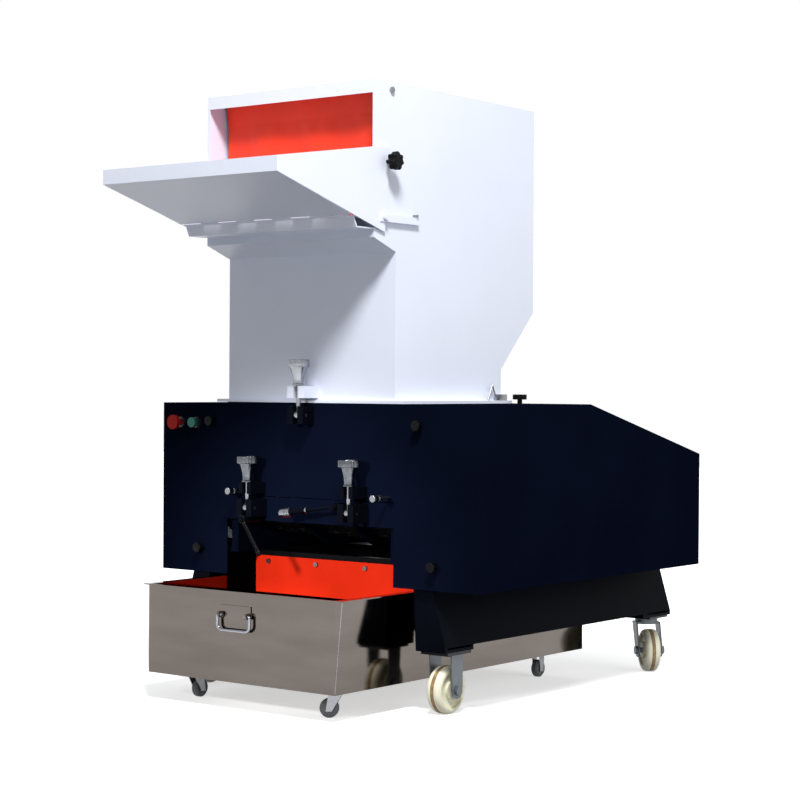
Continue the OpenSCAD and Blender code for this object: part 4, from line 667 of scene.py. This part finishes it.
def add_weld(name, start, end, radius, look, slot, body="machine"):
    rng = random.Random(name)
    a, b = Vector(start), Vector(end)
    along = (b - a).normalized()
    side = along.orthogonal().normalized()
    up = along.cross(side)
    length = (b - a).length
    count = max(2, int(length / (radius * BEAD_PITCH_SHARE)))
    centres, radii = [], []
    for i in range(count + 1):
        swell = (1 - BEAD_LEAST_SHARE) * abs(math.sin(i * BEAD_BEAT))
        r = radius * (BEAD_LEAST_SHARE + swell + rng.uniform(-BEAD_UNEVEN_SHARE, BEAD_UNEVEN_SHARE))
        centres.append(a + along * (length * i / count))
        radii.append(radius * BEAD_END_SHARE if i in (0, count) else r)
    points, faces = tube(centres, radii, BEAD_RING, [(side, up)] * (count + 1))
    add_piece(name, points, faces, look, body, slot)


# The three beads round the hopper's neck, on its flange
NECK_BEAD = 1.8 * MM
NECK_Z = 813.5 * MM
NECK_FRONT = FRONT_Y + 15 * MM
NECK_REAR = FRONT_Y + 500 * MM


def add_neck_welds():
    front_right = (HOPPER_RIGHT, NECK_FRONT, NECK_Z)
    front_left = (HOPPER_LEFT, NECK_FRONT, NECK_Z)
    rear_right = (HOPPER_RIGHT, NECK_REAR, NECK_Z)
    rear_left = (HOPPER_LEFT, NECK_REAR, NECK_Z)
    for name, start, end in (("front", front_left, front_right), ("right", front_right, rear_right),
                             ("left", front_left, rear_left)):
        add_weld("weld_neck_" + name, start, end, NECK_BEAD, "white_sheet", "white_sheet")


# Star knobs: lobed, with a rounded crown and a dished middle, on a round neck
LOBES = 7
LOBE_STEPS = 20
LOBE_SHARE = 0.13
LOBE_ROOT_SHARE = 0.5
STAR_NECK_SHARE = 0.42
STAR_FOOT_SHARE = 0.86
STAR_SIDE_SHARE = 0.97
STAR_SIDE_AT_SHARE = 0.10
STAR_DISH_SHARE = 0.45
STAR_DISH_FLOOR_SHARE = 0.40
CROWN_SHARE = 0.32
CROWN_STEPS = 8
STAR_DISH = 1 * MM
TIP = 0.4 * MM


def star_shape(centre, axis, radius, height):
    crown = height * CROWN_SHARE
    profile = [(radius * STAR_NECK_SHARE, 0), (radius * STAR_FOOT_SHARE, 0),
               (radius * STAR_SIDE_SHARE, height * STAR_SIDE_AT_SHARE)]
    for i in range(1, CROWN_STEPS + 1):
        t = math.radians(90 * i / CROWN_STEPS)
        profile.append((radius - crown * (1 - math.cos(t)), height - crown + crown * math.sin(t)))
    dish = height - STAR_DISH
    profile += [(radius * STAR_DISH_SHARE, height), (radius * STAR_DISH_FLOOR_SHARE, dish),
                (TIP, dish)]
    root = radius * LOBE_ROOT_SHARE

    def lobed(angle, r, at):
        share = max(0, (r - root) / (radius - root))
        return -radius * LOBE_SHARE * share * (1 + math.cos(LOBES * angle))

    return turned(profile, LOBES * LOBE_STEPS, centre, axis, lobed)


# The two knobs at the tray's arms, each with its stud
TRAY_KNOB_Y = FRONT_Y - 33 * MM
TRAY_KNOB_Z = 1433 * MM
TRAY_KNOB_R = 25 * MM
TRAY_KNOB_H = 24 * MM
STUD_R = 5 * MM
STUD_STEPS = 32
STUD_SUNK = 1 * MM


def add_tray_knobs():
    for side, node_name, body in ((1, "tray_knob_right", "tray_knob_r"),
                                  (-1, "tray_knob_left", "tray_knob_l")):
        low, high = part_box(node_name)
        inner, outer = (low[0], high[0]) if side > 0 else (high[0], low[0])
        base = outer - side * TRAY_KNOB_H
        axis = (side, 0, 0)
        reach = abs(base - inner) + STUD_SUNK
        head = star_shape((base, TRAY_KNOB_Y, TRAY_KNOB_Z), axis, TRAY_KNOB_R, TRAY_KNOB_H)
        stud = turned([(STUD_R, 0), (STUD_R, reach)], STUD_STEPS,
                      (inner, TRAY_KNOB_Y, TRAY_KNOB_Z), axis)
        knob = add_piece("star_" + node_name, *joined(head, stud), "black_plastic", body,
                         "black_plastic")
        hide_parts(node_name)


# Star heads over the covers' five knobs: X and height on the front, in millimetres
COVER_KNOBS = ((-357, 751), (-399, 395), (368, 750), (419, 388))
COVER_KNOB_R = 14 * MM
COVER_KNOB_H = 14.4 * MM
COVER_KNOB_OUT = 11 * MM
TOP_KNOB = (335 * MM, FRONT_Y + 505 * MM, 816 * MM)
TOP_KNOB_R = 20 * MM


def add_cover_knobs():
    heads = [("%d" % (i + 1), (x * MM, FRONT_Y - COVER_KNOB_OUT, z * MM), (0, -1, 0), COVER_KNOB_R)
             for i, (x, z) in enumerate(COVER_KNOBS)]
    heads.append(("top", TOP_KNOB, (0, 0, 1), TOP_KNOB_R))
    for name, centre, axis, radius in heads:
        points, faces = star_shape(centre, axis, radius, COVER_KNOB_H)
        add_piece("cover_star_" + name, points, faces, "black_plastic", "machine", "black_plastic")


# Levers: both turn on a hub of the same size
HUB_PROFILE = in_mm((5.1, -6), (10, -6), (11, -5), (11, 5), (10, 6), (5.1, 6))
LEVER_STEPS = 40
ROD_STEPS = 32


def lever_hub(pivot):
    return turned(HUB_PROFILE, LEVER_STEPS, pivot, (0, 1, 0), closed=False)


# Long lever: thin rod, silver collar, thick dark grip and a ringed silver end
LONG_LEAN = math.radians(7.5)
LONG_LEN = 189 * MM
LONG_ROD = in_mm((5, 9), (5, 92))
LONG_GRIP = in_mm((6.5, 96), (8.2, 100), (8.6, 120), (8.2, 142), (7, 148))
LONG_COLLAR = in_mm((5, 90), (7.6, 90.5), (8, 92), (8, 94), (7.6, 95.5), (5, 96))
END_FOOT = in_mm((7, 147))
END_RINGS = 4
END_RING_AT = 148
END_RING_PITCH = 5.5
END_RING = ((11.2, 0), (12.6, 0.8), (13, 2), (12.6, 3.4), (11.2, 4.2))
END_DOME = 12 * MM
END_DOME_R = 12.2 * MM
END_STEPS = 48


def add_long_lever():
    pivot = Vector(joint_of("long_lever_swing")["pos_m"])
    along = (-math.cos(LONG_LEAN), 0, -math.sin(LONG_LEAN))
    body = "long_lever_arm"
    arm = joined(turned(LONG_ROD, ROD_STEPS, pivot, along), lever_hub(pivot),
                 turned(LONG_GRIP, LEVER_STEPS, pivot, along))
    lever = add_piece("lever_arm", *arm, "black_frame", body, "black_frame")
    rings = list(END_FOOT)
    for i in range(END_RINGS):
        rings += in_mm(*((r, END_RING_AT + i * END_RING_PITCH + at) for r, at in END_RING))
    for i in range(CROWN_STEPS + 1):
        t = math.radians(90 * i / CROWN_STEPS)
        rings.append((TIP + END_DOME_R * math.cos(t), LONG_LEN - END_DOME + END_DOME * math.sin(t)))
    silver = joined(turned(LONG_COLLAR, LEVER_STEPS, pivot, along),
                    turned(rings, END_STEPS, pivot, along))
    add_piece("lever_silver", *silver, "bright_knob", body, "bright_knob")
    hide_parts("long_lever")


# Short lever: a ribbed rod with a small round end
SHORT_LEAN = math.radians(34.5)
SHORT_ROD = in_mm((4.6, 9), (4.6, 16))
RIBS = 21
RIB_FROM = 16
RIB_PITCH = 4
RIB = ((4.7, 0), (5.7, 1.2), (5.7, 2.4), (4.7, 3.6))
SHORT_END = in_mm((6.4, 101), (6.8, 103), (6.8, 110), (5.6, 114), (0.4, 115))


def add_short_lever():
    pivot = Vector(joint_of("short_lever_swing")["pos_m"])
    along = (math.sin(SHORT_LEAN), 0, -math.cos(SHORT_LEAN))
    rod = list(SHORT_ROD)
    for i in range(RIBS):
        rod += in_mm(*((r, RIB_FROM + i * RIB_PITCH + at) for r, at in RIB))
    rod += SHORT_END
    arm = joined(turned(rod, ROD_STEPS, pivot, along), lever_hub(pivot))
    lever = add_piece("lever_short", *arm, "black_plastic", "short_lever_arm", "black_frame")
    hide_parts("short_lever")


# The bin's bail: one bent rod, with its two ends turned into the ears
EAR_REACH = 17 * MM
TOP_BEND = 5 * MM
LOW_BEND = 15 * MM
BEND_STEPS = 8


def add_bail():
    low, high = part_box("bin_handle")
    radius = (high[1] - low[1]) / 2
    middle_x, y, _ = middle((low, high))
    reach = (high[0] - low[0]) / 2 - radius
    top, bottom = high[2] - radius, low[2] + radius
    half = [Vector((reach - EAR_REACH, y, top))]
    for x, z, bend, first in ((reach - TOP_BEND, top - TOP_BEND, TOP_BEND, 90),
                              (reach - LOW_BEND, bottom + LOW_BEND, LOW_BEND, 0)):
        for i in range(BEND_STEPS + 1):
            t = math.radians(first - 90 * i / BEND_STEPS)
            half.append(Vector((x + bend * math.cos(t), y, z + bend * math.sin(t))))
    path = [Vector((middle_x + p.x, p.y, p.z)) for p in half]
    path += [Vector((middle_x - p.x, p.y, p.z)) for p in reversed(half)]
    points, faces = swept(path, radius)
    bail = add_piece("bent_bail", points, faces, "bright_knob", "bail", "steel")
    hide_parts("bin_handle")


# A bright bead down the bin's front right corner: a painted highlight where the corner catches the light
BIN_OUT = 252 * MM
BIN_OUT_SLACK = 1 * MM
BIN_HIGHLIGHT_BEAD = 0.9 * MM
BIN_HIGHLIGHT_END = 4 * MM
CORNER_BAND = 3 * MM


def add_bin_corner_highlight():
    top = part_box("bin")[1][2]
    shell_front = FRONT_Y - BIN_OUT - BIN_OUT_SLACK
    shell = [v.co for v in nodes["bin"].data.vertices if v.co.y > shell_front]
    bottom = min(p.z for p in shell)
    ends = []
    for level, shift in ((bottom, BIN_HIGHLIGHT_END), (top, -BIN_HIGHLIGHT_END)):
        ring = [p for p in shell if abs(p.z - level) < CORNER_BAND]
        corner = max(ring, key=lambda p: p.x - p.y)
        ends.append((corner.x, corner.y, corner.z + shift))
    # Painted highlight: a brighter metal bead stands in for the corner's reflection
    add_weld("seam_bin_right", ends[0], ends[1], BIN_HIGHLIGHT_BEAD, "bright_knob", "steel", "bin_body")


# Knurled heads of the two thumb screws: X and Y from the front plane, in millimetres
THUMB_SCREWS = ((-250, -50), (268, -63))
THUMB_SCREW_Z = 560 * MM
THUMB_PROFILE = in_mm((4, -9.2), (8.4, -9.2), (9.2, -8.2), (9.2, 8.2), (8.4, 9.2), (4, 9.2))
THUMB_KNURLS = 24
THUMB_KNURL_DEPTH = 0.3 * MM
THUMB_KNURL_FROM = 9 * MM


def add_thumb_screws():
    def knurl(angle, radius, at):
        wave = THUMB_KNURL_DEPTH * math.cos(THUMB_KNURLS * angle)
        return wave if radius > THUMB_KNURL_FROM else 0

    for i, (x, y) in enumerate(THUMB_SCREWS):
        centre = (x * MM, FRONT_Y + y * MM, THUMB_SCREW_Z)
        points, faces = turned(THUMB_PROFILE, THUMB_KNURLS * KNURL_STEPS, centre, (0, 1, 0), knurl)
        add_piece("thumb_screw_%d" % (i + 1), points, faces, "bright_knob", "machine", "bright_knob")


add_camera()
add_world()
add_floor()
for lamp_name, lamp in LAMPS.items():
    add_lamp(lamp_name, **lamp)
dress_nodes()
shade_parts()
add_clamp_knob("hopper_clamp_knob", "top_knob", TOP_SHOULDER_SHARE, "bright_knob")
# The two lower clamp knobs wear the darker knob metal as painted shade
add_clamp_knob("left_clamp_knob", "left_knob", LOW_SHOULDER_SHARE, "shaded_knob")
add_clamp_knob("right_clamp_knob", "right_knob", LOW_SHOULDER_SHARE, "shaded_knob")
add_curtain()
for wheel, wheel_body in SEAMED_WHEELS.items():
    add_tread_seam(wheel, wheel_body)
add_neck_welds()
add_tray_knobs()
add_cover_knobs()
add_long_lever()
add_short_lever()
add_bail()
add_bin_corner_highlight()
add_thumb_screws()

scene.view_settings.view_transform = "Standard"
